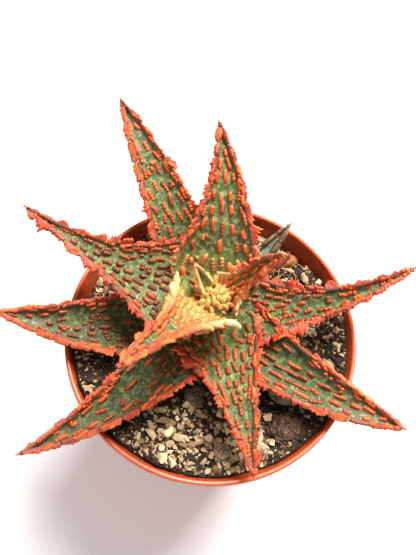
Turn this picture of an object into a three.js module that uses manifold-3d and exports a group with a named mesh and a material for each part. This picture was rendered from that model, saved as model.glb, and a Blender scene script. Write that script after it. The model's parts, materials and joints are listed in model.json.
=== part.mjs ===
// A potted aloe hybrid: a rosette of broad toothed leaves in a small round plastic pot.
// Millimetres, +Z up. The origin is the middle of the pot's foot, on the surface it stands on.
import * as THREE from 'three';
import { mergeVertices } from 'three/addons/utils/BufferGeometryUtils.js';
import Module from 'manifold-3d';

const wasm = await Module();
wasm.setup();

// Pot: a thin round nursery pot with a rolled rim and a collar
const POT_HEIGHT = 62;
const RIM_RADIUS = 35;
const POT_SIDES = 40;
const POT_FLOOR = 3.2;
const HOLE_CIRCLE = 14.5;
const HOLE_RADIUS = 3;
const HOLE_COUNT = 6;
const RIB_COUNT = 4;

// Compost: how far its surface lies below the rim
const SOIL_DEPTH = 3.2;
const SOIL_RINGS = 5;
const SOIL_SIDES = 28;
const GRIT_COUNT = 46;

// Plant: where the stem stands in the pot, and the gap kept between neighbouring pieces
const PLANT_X = -0.5;
const PLANT_Y = 5;
const STEM_RADIUS = 3.1;
const GAP = 0.35;
const BUMP_HEIGHT = 0.55;
const CREST_EDGE = 0.6;
const CREST_LEAN = [-14, 26];
const BLADE_STATIONS = [0, 0.08, 0.17, 0.27, 0.37, 0.47, 0.57, 0.67, 0.77, 0.86, 0.93, 0.98];
const ROOM_STATIONS = [0, 0.17, 0.37, 0.57, 0.77, 0.93, 1];

// Slivers left by joining and cutting that are smaller than this are closed up
const TIDY = 0.08;

// Leaves, innermost first. Angles in degrees; root, tip and arch are heights over the rim.
// width is the base width, crest the height of the margin's red crest, channel the cross curve.
// taper and point shape the outline from base to tip.
const LEAVES = [
  { name: 'leaf_heart', azimuth: 140, inner: 1.6, reach: 7, root: 11, tip: 22, arch: 0,
    sweep: 0, width: 4, thick: 1.5, roll: 0, taper: 1, point: 0.8, channel: 0.3, crest: 0.7,
    bumps: 0, backBumps: 0 },
  { name: 'leaf_front_upright', azimuth: 234, inner: 3.5, reach: 30.5, root: 10, tip: 42,
    arch: -0.5, sweep: 0.5, width: 19, thick: 3.2, roll: 0, taper: 0.8, point: 2.2,
    channel: 0.4, crest: 1.9, bumps: 24, backBumps: 12 },
  { name: 'leaf_right_upright', azimuth: 7, inner: 3.5, reach: 14.5, root: 7, tip: 28,
    arch: -0.5, sweep: -1.5, width: 8, thick: 2.6, roll: 0, taper: 0.7, point: 1.4,
    channel: 0.4, crest: 2.1, bumps: 10, backBumps: 5 },
  { name: 'leaf_back', azimuth: 88, inner: 3.5, reach: 35.5, root: 7, tip: 27, arch: 3,
    sweep: 2, width: 20, thick: 3.6, roll: 4, taper: 1.3, point: 1.9, channel: 0.2,
    crest: 2.2, bumps: 32, backBumps: 12 },
  { name: 'leaf_left_upper', azimuth: 156, inner: 3.5, reach: 46, root: 7.5, tip: 17.5,
    arch: -1.5, sweep: -1.5, width: 27, thick: 4, roll: 6, taper: 1.3, point: 2.7,
    channel: 0.2, crest: 2.3, bumps: 38, backBumps: 14 },
  { name: 'leaf_front', azimuth: 282, inner: 3.5, reach: 39.5, root: 2, tip: 4, arch: 4,
    sweep: -0.5, width: 18.5, thick: 3.8, roll: -9, taper: 1.5, point: 2.2, channel: 0.05,
    crest: 2.1, bumps: 30, backBumps: 11 },
  { name: 'leaf_right', azimuth: 6, inner: 3.5, reach: 46, root: 1, tip: 16, arch: -2.5,
    sweep: 3, width: 21.5, thick: 3.6, roll: -6, taper: 1, point: 2, channel: 0.2,
    crest: 2.4, bumps: 32, backBumps: 12 },
  { name: 'leaf_back_left', azimuth: 115, inner: 3.5, reach: 51.5, root: -2, tip: 21,
    arch: 0, sweep: 1, width: 16.5, thick: 3.6, roll: -2, taper: 1.2, point: 1.1,
    channel: 0.25, crest: 1.8, bumps: 26, backBumps: 11 },
  { name: 'leaf_front_left', azimuth: 219, inner: 3.5, reach: 53, root: -1, tip: 5, arch: 2,
    sweep: -4, width: 18, thick: 3.6, roll: 6, taper: 1.1, point: 1.4, channel: 0.35,
    crest: 1.6, bumps: 26, backBumps: 11 },
  { name: 'leaf_front_right', azimuth: 325, inner: 3.5, reach: 51, root: -3, tip: 5.5,
    arch: 1.5, sweep: 2.5, width: 16, thick: 3.4, roll: -7, taper: 1.2, point: 1,
    channel: 0.35, crest: 1.5, bumps: 24, backBumps: 10 },
  { name: 'leaf_left_low', azimuth: 184, inner: 3.5, reach: 48, root: -3, tip: 10,
    arch: -1.5, sweep: -2.5, width: 19, thick: 3.4, roll: 10, taper: 1.2, point: 1.1,
    channel: 0.4, crest: 1.7, bumps: 24, backBumps: 10 },
  { name: 'leaf_small_old', azimuth: 47, inner: 3.5, reach: 30.5, root: -2, tip: 3.5,
    arch: 0.5, sweep: 0, width: 5, thick: 1.8, roll: 0, taper: 1.3, point: 0.9,
    channel: 0.3, crest: 0.8, bumps: 3, backBumps: 0 },
];

// Loose stones on the compost: place, half sizes, turn and how far the middle is sunk
const STONES = [
  { name: 'stone_dark', at: [16.6, -21.6], half: [4.8, 4, 2.8], turn: 20, rise: -0.2 },
  { name: 'stone_grey_flat', at: [-4.2, -14.6], half: [2.3, 3.1, 1.5], turn: 15, rise: 0.5 },
  { name: 'stone_white', at: [10.3, -27.4], half: [2.3, 2.6, 2], turn: 30, rise: 0.3 },
  { name: 'stone_shard', at: [15.4, -15.2], half: [3.1, 1.6, 1.4], turn: -40, rise: 0.6 },
  { name: 'stone_spotted', at: [1.6, -27.6], half: [2.3, 2, 1.6], turn: 0, rise: 0.5 },
  { name: 'stone_tan', at: [5.6, -23.4], half: [2, 1.6, 1.4], turn: 50, rise: 0.5 },
  { name: 'stone_cream', at: [16.2, 24.4], half: [2.8, 1.9, 1.7], turn: -35, rise: 0.6 },
  { name: 'stone_orange', at: [20.6, 20.6], half: [2.4, 1.9, 1.6], turn: 10, rise: 0.5 },
  { name: 'stone_block', at: [26.6, -8.6], half: [2.6, 2.1, 1.8], turn: 25, rise: 0.4 },
];

// Surface finishes
const TERRACOTTA = { color: 0xc4552c, roughness: 0.45, metalness: 0 };
const COMPOST = { color: 0x3b2a1e, roughness: 0.95, metalness: 0 };
const LEAF_GREEN = { color: 0x71805c, roughness: 0.6, metalness: 0 };
const HEART_GREEN = { color: 0xb9b45a, roughness: 0.55, metalness: 0 };
const STEM_GREEN = { color: 0xa3a35c, roughness: 0.6, metalness: 0 };
const STONE_COLOURS = [0x7a6452, 0x8c7868, 0xc8b49c, 0xb0a394, 0xb49a7c, 0xbfa47c, 0xd8c8a6,
  0xa8703c, 0xa48c60];

// Repeatable dice, so every bump and tooth keeps its place
class Dice {
  constructor(seed) {
    this.state = (seed * 7919 + 12345) >>> 0;
    for (let i = 0; i < 3; i += 1) {
      this.next();
    }
  }

  next() {
    this.state = (Math.imul(this.state, 1664525) + 1013904223) >>> 0;
    return this.state / 4294967296;
  }

  between(low, high) {
    return low + (high - low) * this.next();
  }
}

function radians(degrees) {
  return (degrees * Math.PI) / 180;
}

// Solids: closed triangle meshes, joined and cut
function solidOf(geometry) {
  const bare = geometry.clone();
  bare.deleteAttribute('normal');
  bare.deleteAttribute('uv');
  const merged = mergeVertices(bare, 1e-5);
  const mesh = new wasm.Mesh({
    numProp: 3,
    vertProperties: new Float32Array(merged.attributes.position.array),
    triVerts: new Uint32Array(merged.index.array),
  });
  mesh.merge();
  return new wasm.Manifold(mesh);
}

function geometryOf(solid) {
  const mesh = solid.getMesh();
  const geometry = new THREE.BufferGeometry();
  geometry.setAttribute('position', new THREE.BufferAttribute(mesh.vertProperties, 3));
  geometry.setIndex(new THREE.BufferAttribute(mesh.triVerts, 1));
  geometry.computeVertexNormals();
  return geometry;
}

function largestBody(solid) {
  const bodies = solid.decompose();
  bodies.sort((a, b) => b.volume() - a.volume());
  return bodies[0];
}

function joinAll(solids) {
  return solids.reduce((whole, piece) => whole.add(piece));
}

// A closed skin over a row of rings, each a list of the same number of points
function skin(rings, startPoint = null, endPoint = null) {
  const count = rings[0].length;
  const points = rings.flat();
  const faces = [];
  for (let i = 0; i + 1 < rings.length; i += 1) {
    for (let j = 0; j < count; j += 1) {
      const a = i * count + j;
      const b = i * count + ((j + 1) % count);
      faces.push(a, b, b + count, a, b + count, a + count);
    }
  }
  capEnd(points, faces, 0, count, startPoint, true);
  capEnd(points, faces, (rings.length - 1) * count, count, endPoint, false);
  return closedSolid(points, faces);
}

function capEnd(points, faces, first, count, apex, flip) {
  const spread = apex === null ? first : points.length;
  if (apex !== null) {
    points.push(apex);
  }
  for (let j = apex === null ? 1 : 0; j < (apex === null ? count - 1 : count); j += 1) {
    const a = first + j;
    const b = first + ((j + 1) % count);
    faces.push(...(flip ? [spread, b, a] : [spread, a, b]));
  }
}

function closedSolid(points, faces) {
  const geometry = new THREE.BufferGeometry().setFromPoints(points);
  geometry.setIndex(faces);
  const solid = solidOf(geometry);
  if (solid.volume() >= 0) {
    return solid;
  }
  const turned = [];
  for (let i = 0; i < faces.length; i += 3) {
    turned.push(faces[i], faces[i + 2], faces[i + 1]);
  }
  geometry.setIndex(turned);
  return solidOf(geometry);
}

// Leaf shape: a curved midline that carries a channelled, tapering blade
function midline(leaf) {
  const a = radians(leaf.azimuth);
  const out = new THREE.Vector3(Math.cos(a), Math.sin(a), 0);
  const across = new THREE.Vector3(Math.sin(a), -Math.cos(a), 0);
  const centre = new THREE.Vector3(PLANT_X, PLANT_Y, POT_HEIGHT);
  const start = centre.clone().addScaledVector(out, leaf.inner);
  start.z += leaf.root;
  const end = centre.clone().addScaledVector(out, leaf.reach);
  end.z += leaf.tip;
  const bend = start.clone().add(end).multiplyScalar(0.5);
  bend.addScaledVector(across, 2 * leaf.sweep);
  bend.z += 2 * leaf.arch;
  return new THREE.QuadraticBezierCurve3(start, bend, end);
}

function frameAt(leaf, s) {
  const along = leaf.curve.getTangent(s);
  const across = along.clone().cross(new THREE.Vector3(0, 0, 1)).normalize();
  const up = across.clone().cross(along);
  const r = radians(leaf.roll);
  const side = across.clone().multiplyScalar(Math.cos(r)).addScaledVector(up, Math.sin(r));
  const face = up.multiplyScalar(Math.cos(r)).addScaledVector(across, -Math.sin(r));
  return { at: leaf.curve.getPoint(s), along, side, face };
}

function halfWidth(leaf, s) {
  const base = Math.min(1, 0.8 + 2.2 * s);
  const outline = Math.max(0, 1 - s ** leaf.taper) ** leaf.point;
  return (leaf.width / 2) * base * outline + 0.7 * (1 - s ** 6);
}

function thickness(leaf, s) {
  return leaf.thick * (1 - s) ** 0.6 + 0.7;
}

// u runs from -1 to 1 across the blade; lift moves the point off the surface
function facePoint(leaf, s, u, lift = 0) {
  const f = frameAt(leaf, s);
  const half = halfWidth(leaf, s);
  const height = leaf.channel * half * u * u + lift;
  return f.at.addScaledVector(f.side, u * half).addScaledVector(f.face, height);
}

function backPoint(leaf, s, u, lift = 0) {
  const f = frameAt(leaf, s);
  const half = halfWidth(leaf, s);
  const depth = thickness(leaf, s) * Math.max(0, 1 - u * u) ** 0.7;
  const height = leaf.channel * half * u * u - depth - lift;
  return f.at.addScaledVector(f.side, u * half).addScaledVector(f.face, height);
}

function innerPoint(leaf, s) {
  return backPoint(leaf, s, 0, -thickness(leaf, s) / 2);
}

// A line of points running from a leaf's base to its tip
function lineAlong(stations, place) {
  return { stations, points: stations.map((s) => place(s)) };
}

// The blade with its two crests: lines run along it, and neighbouring lines are laced together
function blade(leaf, index) {
  const plates = [1, -1].map((side) => crestPlates(leaf, side, index * 10 + (3 - side) / 2));
  const tips = plates.map((list) => crestStations(list));
  const tipLine = (k, offset) => ({
    stations: tips[k].map((t) => t.s),
    points: tips[k].map((t) => crestPoint(leaf, k === 0 ? 1 : -1, t, offset)),
  });
  const face = (u) => lineAlong(BLADE_STATIONS, (s) => facePoint(leaf, s, u));
  const back = (u) => lineAlong(BLADE_STATIONS, (s) => backPoint(leaf, s, u));
  const lines = [
    face(0.86), face(0.42), face(0), face(-0.42), face(-0.86),
    tipLine(1, 1), tipLine(1, -1), back(-0.8), back(-0.35), back(0.35), back(0.8),
    tipLine(0, -1), tipLine(0, 1),
  ];
  return lacedSkin(lines, innerPoint(leaf, 0), innerPoint(leaf, 1));
}

function lacedSkin(lines, basePoint, tipPoint) {
  const firsts = [];
  const points = [basePoint, tipPoint];
  lines.forEach((line) => {
    firsts.push(points.length);
    points.push(...line.points);
  });
  const faces = [];
  lines.forEach((line, k) => {
    const next = (k + 1) % lines.length;
    const other = lines[next];
    let i = 0;
    let j = 0;
    while (i + 1 < line.stations.length || j + 1 < other.stations.length) {
      const a = firsts[k] + i;
      const b = firsts[next] + j;
      const nextI = i + 1 < line.stations.length ? line.stations[i + 1] : Infinity;
      const nextJ = j + 1 < other.stations.length ? other.stations[j + 1] : Infinity;
      if (nextI <= nextJ) {
        faces.push(a, b, a + 1);
        i += 1;
      } else {
        faces.push(a, b, b + 1);
        j += 1;
      }
    }
    faces.push(firsts[k] + i, firsts[next] + j, 1);
    faces.push(firsts[next], firsts[k], 0);
  });
  return closedSolid(points, faces);
}

// The room a leaf takes up with its bumps and crests, used to keep its neighbours off it
function leafRoom(leaf) {
  const steepest = Math.atan(1.4 * leaf.channel) + radians(CREST_LEAN[1]);
  const flattest = Math.atan(1.4 * leaf.channel) + radians(CREST_LEAN[0]);
  const reach = leaf.crest * 1.48;
  const rings = ROOM_STATIONS.map((s) => {
    const f = frameAt(leaf, s);
    f.at.addScaledVector(f.along, (s - 0.5) * 2 * GAP);
    const inner = halfWidth(leaf, s);
    const half = inner + reach * Math.cos(flattest) + GAP;
    const top = leaf.channel * inner + reach * Math.sin(steepest) + CREST_EDGE / 2 + GAP;
    const under = leaf.channel * inner + Math.min(0, reach * Math.sin(flattest)) - 0.7 - GAP;
    const high = BUMP_HEIGHT + GAP;
    const deep = thickness(leaf, s) + high + 0.1;
    const arc = leaf.channel * inner;
    const point = (x, z) => f.at.clone().addScaledVector(f.side, x).addScaledVector(f.face, z);
    return [
      point(half, top), point(inner * 0.95, top), point(inner * 0.5, arc * 0.3 + high),
      point(0, high), point(-inner * 0.5, arc * 0.3 + high), point(-inner * 0.95, top),
      point(-half, top), point(-half, under), point(-inner * 0.75, arc * 0.5 - deep),
      point(-inner * 0.3, -deep), point(inner * 0.3, -deep),
      point(inner * 0.75, arc * 0.5 - deep), point(half, under),
    ];
  });
  const ends = [0, 1].map((s) => innerPoint(leaf, s)
    .addScaledVector(frameAt(leaf, s).along, (s - 0.5) * 2 * GAP));
  return skin(rings, ...ends);
}

// Crest plates: the margin's ribbon stands in plates with a notch between each two
function crestPlates(leaf, side, seed) {
  const dice = new Dice(seed);
  const length = leaf.curve.getLength();
  const plates = [];
  let x = Math.min(3, length * 0.12);
  while (x < length * 0.97) {
    const run = Math.min(dice.between(2.8, 5.2), length - x);
    const rise = dice.between(0.72, 1.22);
    const slope = dice.between(-0.25, 0.25);
    const lean = dice.between(...CREST_LEAN);
    plates.push({ from: x / length, to: (x + run) / length, rise, slope, lean, side });
    x += run;
  }
  return plates;
}

function crestStations(plates) {
  const notch = 0.25;
  const list = [{ s: 0, rise: notch, lean: 0 }];
  plates.forEach((plate) => {
    const span = plate.to - plate.from;
    const lead = 0.14 * span;
    const last = Math.min(plate.to, 0.985);
    list.push({ s: plate.from, rise: notch, lean: plate.lean * 0.3 });
    list.push({ s: plate.from + lead, rise: plate.rise - plate.slope, lean: plate.lean });
    list.push({ s: last - lead, rise: plate.rise + plate.slope, lean: plate.lean });
  });
  list.push({ s: 0.985, rise: notch, lean: 0 });
  return list;
}

function crestPoint(leaf, side, station, offset) {
  const { s } = station;
  const f = frameAt(leaf, s);
  const edge = facePoint(leaf, s, side);
  const tilt = Math.atan(1.4 * leaf.channel) + radians(station.lean);
  const height = Math.max(0.1, leaf.crest * (1 - s * 0.96) ** 0.35 * station.rise);
  const half = offset * CREST_EDGE * 0.5;
  const out = height * Math.cos(tilt) - half * Math.sin(tilt);
  const lift = height * Math.sin(tilt) + half * Math.cos(tilt);
  return edge.addScaledVector(f.side, side * out).addScaledVector(f.face, lift);
}

// Bumps: short ridges along the leaf, in loose rows across it, on both faces
function bumpPlaces(leaf, count, seed) {
  const dice = new Dice(seed);
  const length = leaf.curve.getLength();
  const places = [];
  const area = leaf.width * length * 0.5;
  const pitch = Math.sqrt(area / Math.max(1, count));
  let x = pitch * 0.7 + 2;
  while (x < length * 0.94) {
    const half = halfWidth(leaf, x / length);
    const across = Math.max(1, Math.round((2 * half * 0.86) / pitch));
    for (let i = 0; i < across; i += 1) {
      const u = (((i + 0.5) / across) * 2 - 1) * 0.82 + dice.between(-0.12, 0.12) / across;
      const s = (x + dice.between(-0.32, 0.32) * pitch) / length;
      const near = 1 - s;
      const run = dice.between(1.3, 2.2) + near * dice.between(0.2, 1.8);
      const wide = dice.between(0.7, 0.95);
      const high = dice.between(0.38, BUMP_HEIGHT);
      const turn = dice.between(-18, 18);
      places.push({ s, u, run, wide, high, turn });
    }
    x += pitch * 0.96;
  }
  return places;
}

function bump(leaf, place, surface, sign) {
  const f = frameAt(leaf, place.s);
  const u = place.u * (1 - 0.3 * place.s);
  const step = 0.05;
  const here = surface(leaf, place.s, u);
  const across = surface(leaf, place.s, u + step).sub(surface(leaf, place.s, u - step));
  across.normalize();
  const up = across.clone().cross(f.along).multiplyScalar(1).normalize();
  if (up.dot(f.face) * sign < 0) {
    up.negate();
  }
  const turn = radians(place.turn);
  const run = f.along.clone().multiplyScalar(Math.cos(turn)).addScaledVector(across, Math.sin(turn));
  const side = across.multiplyScalar(Math.cos(turn)).addScaledVector(f.along, -Math.sin(turn));
  const point = (x, y, z) => here.clone()
    .addScaledVector(run, x).addScaledVector(side, y).addScaledVector(up, z);
  const half = place.run / 2;
  const ridge = Math.max(0.2, half - 0.35);
  const foot = half + 0.2;
  const wide = place.wide / 2 + 0.15;
  const points = [
    point(-foot, -wide, -0.5), point(foot, -wide, -0.5), point(foot, wide, -0.5),
    point(-foot, wide, -0.5), point(-ridge, 0, place.high), point(ridge, 0, place.high),
  ];
  const faces = [0, 2, 1, 0, 3, 2, 0, 1, 5, 0, 5, 4, 2, 3, 4, 2, 4, 5, 0, 4, 3, 1, 2, 5];
  return closedSolid(points, faces);
}

function dressedLeaf(leaf, index) {
  const pieces = [blade(leaf, index)];
  bumpPlaces(leaf, leaf.bumps, index * 10 + 3).forEach((place) => {
    if (leaf.bumps > 0) {
      pieces.push(bump(leaf, place, facePoint, 1));
    }
  });
  bumpPlaces(leaf, leaf.backBumps, index * 10 + 4).forEach((place) => {
    if (leaf.backBumps > 0) {
      pieces.push(bump(leaf, place, backPoint, -1));
    }
  });
  return joinAll(pieces);
}

// Stem: a short stalk with a rounded, knobbly growing heart on top
function stem() {
  const profile = [
    [0, -24], [STEM_RADIUS * 0.7, -23], [STEM_RADIUS, -18], [STEM_RADIUS, 4],
    [STEM_RADIUS + 0.5, 8.5], [STEM_RADIUS * 0.8, 10.6], [STEM_RADIUS * 0.35, 11.6], [0, 11.8],
  ].map(([r, z]) => new THREE.Vector2(r, z));
  const stalk = new THREE.LatheGeometry(profile, 12);
  stalk.rotateX(Math.PI / 2);
  stalk.translate(PLANT_X, PLANT_Y, POT_HEIGHT);
  const pieces = [solidOf(stalk)];
  const dice = new Dice(77);
  for (let i = 0; i < 9; i += 1) {
    const a = i * 2.4;
    const r = 0.8 + 0.23 * i;
    const knob = new THREE.OctahedronGeometry(0.6, 0);
    knob.scale(1, 1, dice.between(1.4, 2));
    const fall = 11.5 - 0.13 * r * r * 1.6;
    knob.translate(PLANT_X + r * Math.cos(a), PLANT_Y + r * Math.sin(a), POT_HEIGHT + fall);
    pieces.push(solidOf(knob));
  }
  return joinAll(pieces);
}

// Pot: revolved wall with a rolled rim, stepped collar, foot ring and drainage holes
function pot() {
  const profile = [
    [0, 0], [10, 0], [11, 1], [18.5, 1], [20, 0], [24.6, 0],
    [30.4, POT_HEIGHT - 9.4], [31.6, POT_HEIGHT - 9], [33.7, POT_HEIGHT - 2],
    [RIM_RADIUS, POT_HEIGHT - 1.1], [34.6, POT_HEIGHT], [33.8, POT_HEIGHT - 0.2],
    [33, POT_HEIGHT - 1.8], [31, POT_HEIGHT - 8.6], [29.6, POT_HEIGHT - 9.2],
    [23.4, POT_FLOOR - 0.9], [0, POT_FLOOR - 0.9],
  ].map(([r, z]) => new THREE.Vector2(r, z));
  const wall = new THREE.LatheGeometry(profile, POT_SIDES);
  wall.rotateX(Math.PI / 2);
  let solid = solidOf(wall);
  for (let i = 0; i < HOLE_COUNT; i += 1) {
    const a = (i / HOLE_COUNT) * Math.PI * 2;
    const hole = new THREE.CylinderGeometry(HOLE_RADIUS, HOLE_RADIUS, 8, 10);
    hole.rotateX(Math.PI / 2);
    hole.translate(HOLE_CIRCLE * Math.cos(a), HOLE_CIRCLE * Math.sin(a), 2);
    solid = solid.subtract(solidOf(hole));
  }
  for (let i = 0; i < RIB_COUNT; i += 1) {
    const rib = new THREE.BoxGeometry(0.9, 0.8, 6);
    rib.rotateY(radians(16));
    rib.translate(31.75, 0, POT_HEIGHT - 5.6);
    rib.rotateZ(radians(-76 + i * 90));
    solid = solid.add(solidOf(rib));
  }
  return solid;
}

// Compost: height over the base at a place, lower at the back right and by the front wall
function soilHeight(x, y) {
  const hollow = (cx, cy, size) => Math.exp(-((x - cx) ** 2 + (y - cy) ** 2) / (2 * size * size));
  const wave = 0.35 * Math.sin(x * 0.42 + 1.3) * Math.sin(y * 0.37 + 0.4);
  const ripple = 0.22 * Math.sin(x * 0.95 + y * 0.6) + 0.18 * Math.sin(y * 1.1 - x * 0.5);
  const fall = -0.03 * y + 1.2 * hollow(-30, -5, 8) - 1.2 * hollow(20, 26, 9);
  const dips = -hollow(-26, 18, 8) - 0.8 * hollow(5, -30, 5) - 1.3 * hollow(PLANT_X, PLANT_Y, 9);
  return POT_HEIGHT - SOIL_DEPTH + fall + dips + wave + ripple;
}

function soilBed() {
  const ring = (radius, z) => {
    const points = [];
    for (let j = 0; j < SOIL_SIDES; j += 1) {
      const a = (j / SOIL_SIDES) * Math.PI * 2;
      const x = radius * Math.cos(a);
      const y = radius * Math.sin(a);
      points.push(new THREE.Vector3(x, y, z === null ? soilHeight(x, y) : z));
    }
    return points;
  };
  const rings = [
    ring(22, 3),
    ring(23.2, 3.6),
    ring(28.9, POT_HEIGHT - 9.4),
    ring(30.2, POT_HEIGHT - 8.2),
    ring(31.2, null),
  ];
  for (let i = SOIL_RINGS - 1; i > 0; i -= 1) {
    rings.push(ring((31.2 * i) / SOIL_RINGS, null));
  }
  const base = new THREE.Vector3(0, 0, 3);
  const middle = new THREE.Vector3(0, 0, soilHeight(0, 0));
  return skin(rings, base, middle);
}

function gritLumps() {
  const dice = new Dice(31);
  const lumps = [];
  for (let i = 0; i < GRIT_COUNT; i += 1) {
    const r = 30 * Math.sqrt((i + 0.6) / GRIT_COUNT);
    const a = i * 2.39996 + dice.between(-0.2, 0.2);
    const x = r * Math.cos(a);
    const y = r * Math.sin(a);
    const size = dice.between(0.8, 1.7);
    const lump = new THREE.OctahedronGeometry(size, 0);
    lump.rotateX(dice.between(0, 1.5));
    lump.rotateZ(dice.between(0, 3));
    lump.scale(1, dice.between(0.7, 1), dice.between(0.6, 0.85));
    lump.translate(x * 0.985, y * 0.985, soilHeight(x, y) + size * 0.15);
    lumps.push(solidOf(lump));
  }
  return lumps;
}

// Stones: rounded lumps with flattened, uneven sides
function stoneSolid(stone, seed, grow) {
  const dice = new Dice(seed);
  const ball = mergeVertices(new THREE.IcosahedronGeometry(1, seed === 200 ? 1 : 0).deleteAttribute('normal')
    .deleteAttribute('uv'), 1e-4);
  const points = ball.attributes.position;
  for (let i = 0; i < points.count; i += 1) {
    const k = dice.between(0.84, 1.08);
    points.setXYZ(i, points.getX(i) * k, points.getY(i) * k, points.getZ(i) * k);
  }
  ball.scale(stone.half[0] + grow, stone.half[1] + grow, stone.half[2] + grow);
  ball.rotateZ(radians(stone.turn));
  const [x, y] = stone.at;
  ball.translate(x, y, soilHeight(x, y) + stone.rise);
  return solidOf(ball);
}

// Assembly
const group = new THREE.Group();
group.name = 'potted_aloe_hybrid';

function addNode(name, solid, finish) {
  const mesh = new THREE.Mesh(geometryOf(solid), new THREE.MeshStandardMaterial(finish));
  mesh.name = name;
  group.add(mesh);
}

function buildPlant() {
  const stalk = stem();
  addNode('stem', stalk, STEM_GREEN);
  const stemRoom = new THREE.CylinderGeometry(STEM_RADIUS + 1, STEM_RADIUS + GAP, 46, 16);
  stemRoom.rotateX(Math.PI / 2);
  stemRoom.translate(PLANT_X, PLANT_Y, POT_HEIGHT - 8);
  const rooms = [solidOf(stemRoom)];
  LEAVES.forEach((leaf, index) => {
    const shaped = { ...leaf, curve: midline(leaf) };
    let solid = dressedLeaf(shaped, index);
    rooms.forEach((room) => {
      solid = solid.subtract(room);
    });
    rooms.push(leafRoom(shaped));
    solid = largestBody(solid).simplify(TIDY);
    addNode(leaf.name, solid, index === 0 ? HEART_GREEN : LEAF_GREEN);
  });
  return rooms;
}

function buildFilling(rooms) {
  let solid = joinAll([soilBed(), ...gritLumps()]);
  STONES.forEach((stone, i) => {
    addNode(stone.name, stoneSolid(stone, 200 + i, 0),
      { color: STONE_COLOURS[i], roughness: 0.85, metalness: 0 });
    solid = solid.subtract(stoneSolid(stone, 200 + i, GAP + 0.12));
  });
  rooms.forEach((room) => {
    solid = solid.subtract(room);
  });
  addNode('soil', largestBody(solid).simplify(0.1), COMPOST);
}

addNode('pot', pot().simplify(0.01), TERRACOTTA);
buildFilling(buildPlant());

export default group;
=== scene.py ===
import json
import logging
import math
from dataclasses import dataclass, field
from enum import Enum, IntEnum
from typing import Iterator, NamedTuple

import bmesh
import bpy
import numpy as np
from mathutils import Matrix, Vector, noise

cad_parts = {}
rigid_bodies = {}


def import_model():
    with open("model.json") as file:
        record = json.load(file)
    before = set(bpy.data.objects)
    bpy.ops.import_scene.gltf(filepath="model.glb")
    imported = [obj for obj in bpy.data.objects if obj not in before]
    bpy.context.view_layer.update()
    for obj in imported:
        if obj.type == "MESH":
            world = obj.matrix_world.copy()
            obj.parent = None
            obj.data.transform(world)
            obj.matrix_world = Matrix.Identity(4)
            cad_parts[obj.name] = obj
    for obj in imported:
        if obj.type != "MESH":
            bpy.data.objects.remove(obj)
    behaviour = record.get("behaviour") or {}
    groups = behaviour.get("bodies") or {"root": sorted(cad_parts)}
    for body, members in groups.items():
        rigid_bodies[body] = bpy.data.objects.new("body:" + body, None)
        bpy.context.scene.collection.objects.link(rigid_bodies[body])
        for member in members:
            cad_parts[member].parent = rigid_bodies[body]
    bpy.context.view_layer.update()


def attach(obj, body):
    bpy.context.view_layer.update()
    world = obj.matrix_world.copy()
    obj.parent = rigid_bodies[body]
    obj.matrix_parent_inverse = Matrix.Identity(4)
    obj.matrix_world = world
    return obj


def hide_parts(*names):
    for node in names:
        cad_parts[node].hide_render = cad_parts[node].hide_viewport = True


logging.basicConfig(level=logging.INFO, format="%(message)s")
LOG = logging.getLogger("potted_aloe")

MM = 0.001
POT_HEIGHT = 62.0
PLANT = np.array([-0.5, 5.0, POT_HEIGHT])
SOIL_DEPTH = 3.2
CREST_LEAN = (-14.0, 26.0)

CREST_END = 0.985
UP = np.array([0, 0, 1.0])

Array = np.ndarray
Colour = tuple[float, float, float, float]
Pair = tuple[Colour, Colour]
Stops = tuple[tuple[float, Colour], ...]
Mesh, Material, Thing = bpy.types.Mesh, bpy.types.Material, bpy.types.Object
Socket, Node, Tree = bpy.types.NodeSocket, bpy.types.Node, bpy.types.NodeTree


def srgb(red: int, green: int, blue: int) -> Colour:
    """Turns a screen colour of 0 to 255 into the linear colour that shaders take."""
    parts = [c / 255 for c in (red, green, blue)]
    linear = [c / 12.92 if c <= 0.04045 else ((c + 0.055) / 1.055) ** 2.4 for c in parts]
    return (linear[0], linear[1], linear[2], 1.0)


def smooth(low: float, high: float, value: Array) -> Array:
    """Rises smoothly from 0 at low to 1 at high."""
    t = np.clip((value - low) / (high - low), 0, 1)
    return t * t * (3 - 2 * t)


def lumps(x: Array, y: Array, seed: int) -> Array:
    """Gives a smooth random height between -1 and 1 that changes over about one unit.

    Args:
        x: First coordinate of each point.
        y: Second coordinate of each point.
        seed: Chooses the pattern.

    Returns:
        The height at each point.
    """
    table = np.random.default_rng(seed).uniform(-1, 1, (64, 64))
    i, j = np.floor(x).astype(int), np.floor(y).astype(int)
    fx, fy = x - i, y - j
    fx, fy = fx * fx * (3 - 2 * fx), fy * fy * (3 - 2 * fy)
    low = table[i % 64, j % 64] * (1 - fx) + table[(i + 1) % 64, j % 64] * fx
    high = table[i % 64, (j + 1) % 64] * (1 - fx) + table[(i + 1) % 64, (j + 1) % 64] * fx
    return low * (1 - fy) + high * fy


def soil_height(x: Array, y: Array) -> Array:
    """Height of the compost over the pot's foot, in millimetres, as in the CAD source."""

    def hollow(cx: float, cy: float, size: float) -> Array:
        """A round hump of height 1."""
        return np.exp(-((x - cx) ** 2 + (y - cy) ** 2) / (2 * size * size))

    wave = 0.35 * np.sin(x * 0.42 + 1.3) * np.sin(y * 0.37 + 0.4)
    ripple = 0.22 * np.sin(x * 0.95 + y * 0.6) + 0.18 * np.sin(y * 1.1 - x * 0.5)
    fall = -0.03 * y + 1.2 * hollow(-30, -5, 8) - 1.2 * hollow(20, 26, 9)
    dips = -hollow(-26, 18, 8) - 0.8 * hollow(5, -30, 5) - 1.3 * hollow(-0.5, 5, 9)
    return POT_HEIGHT - SOIL_DEPTH + fall + dips + wave + ripple


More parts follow.
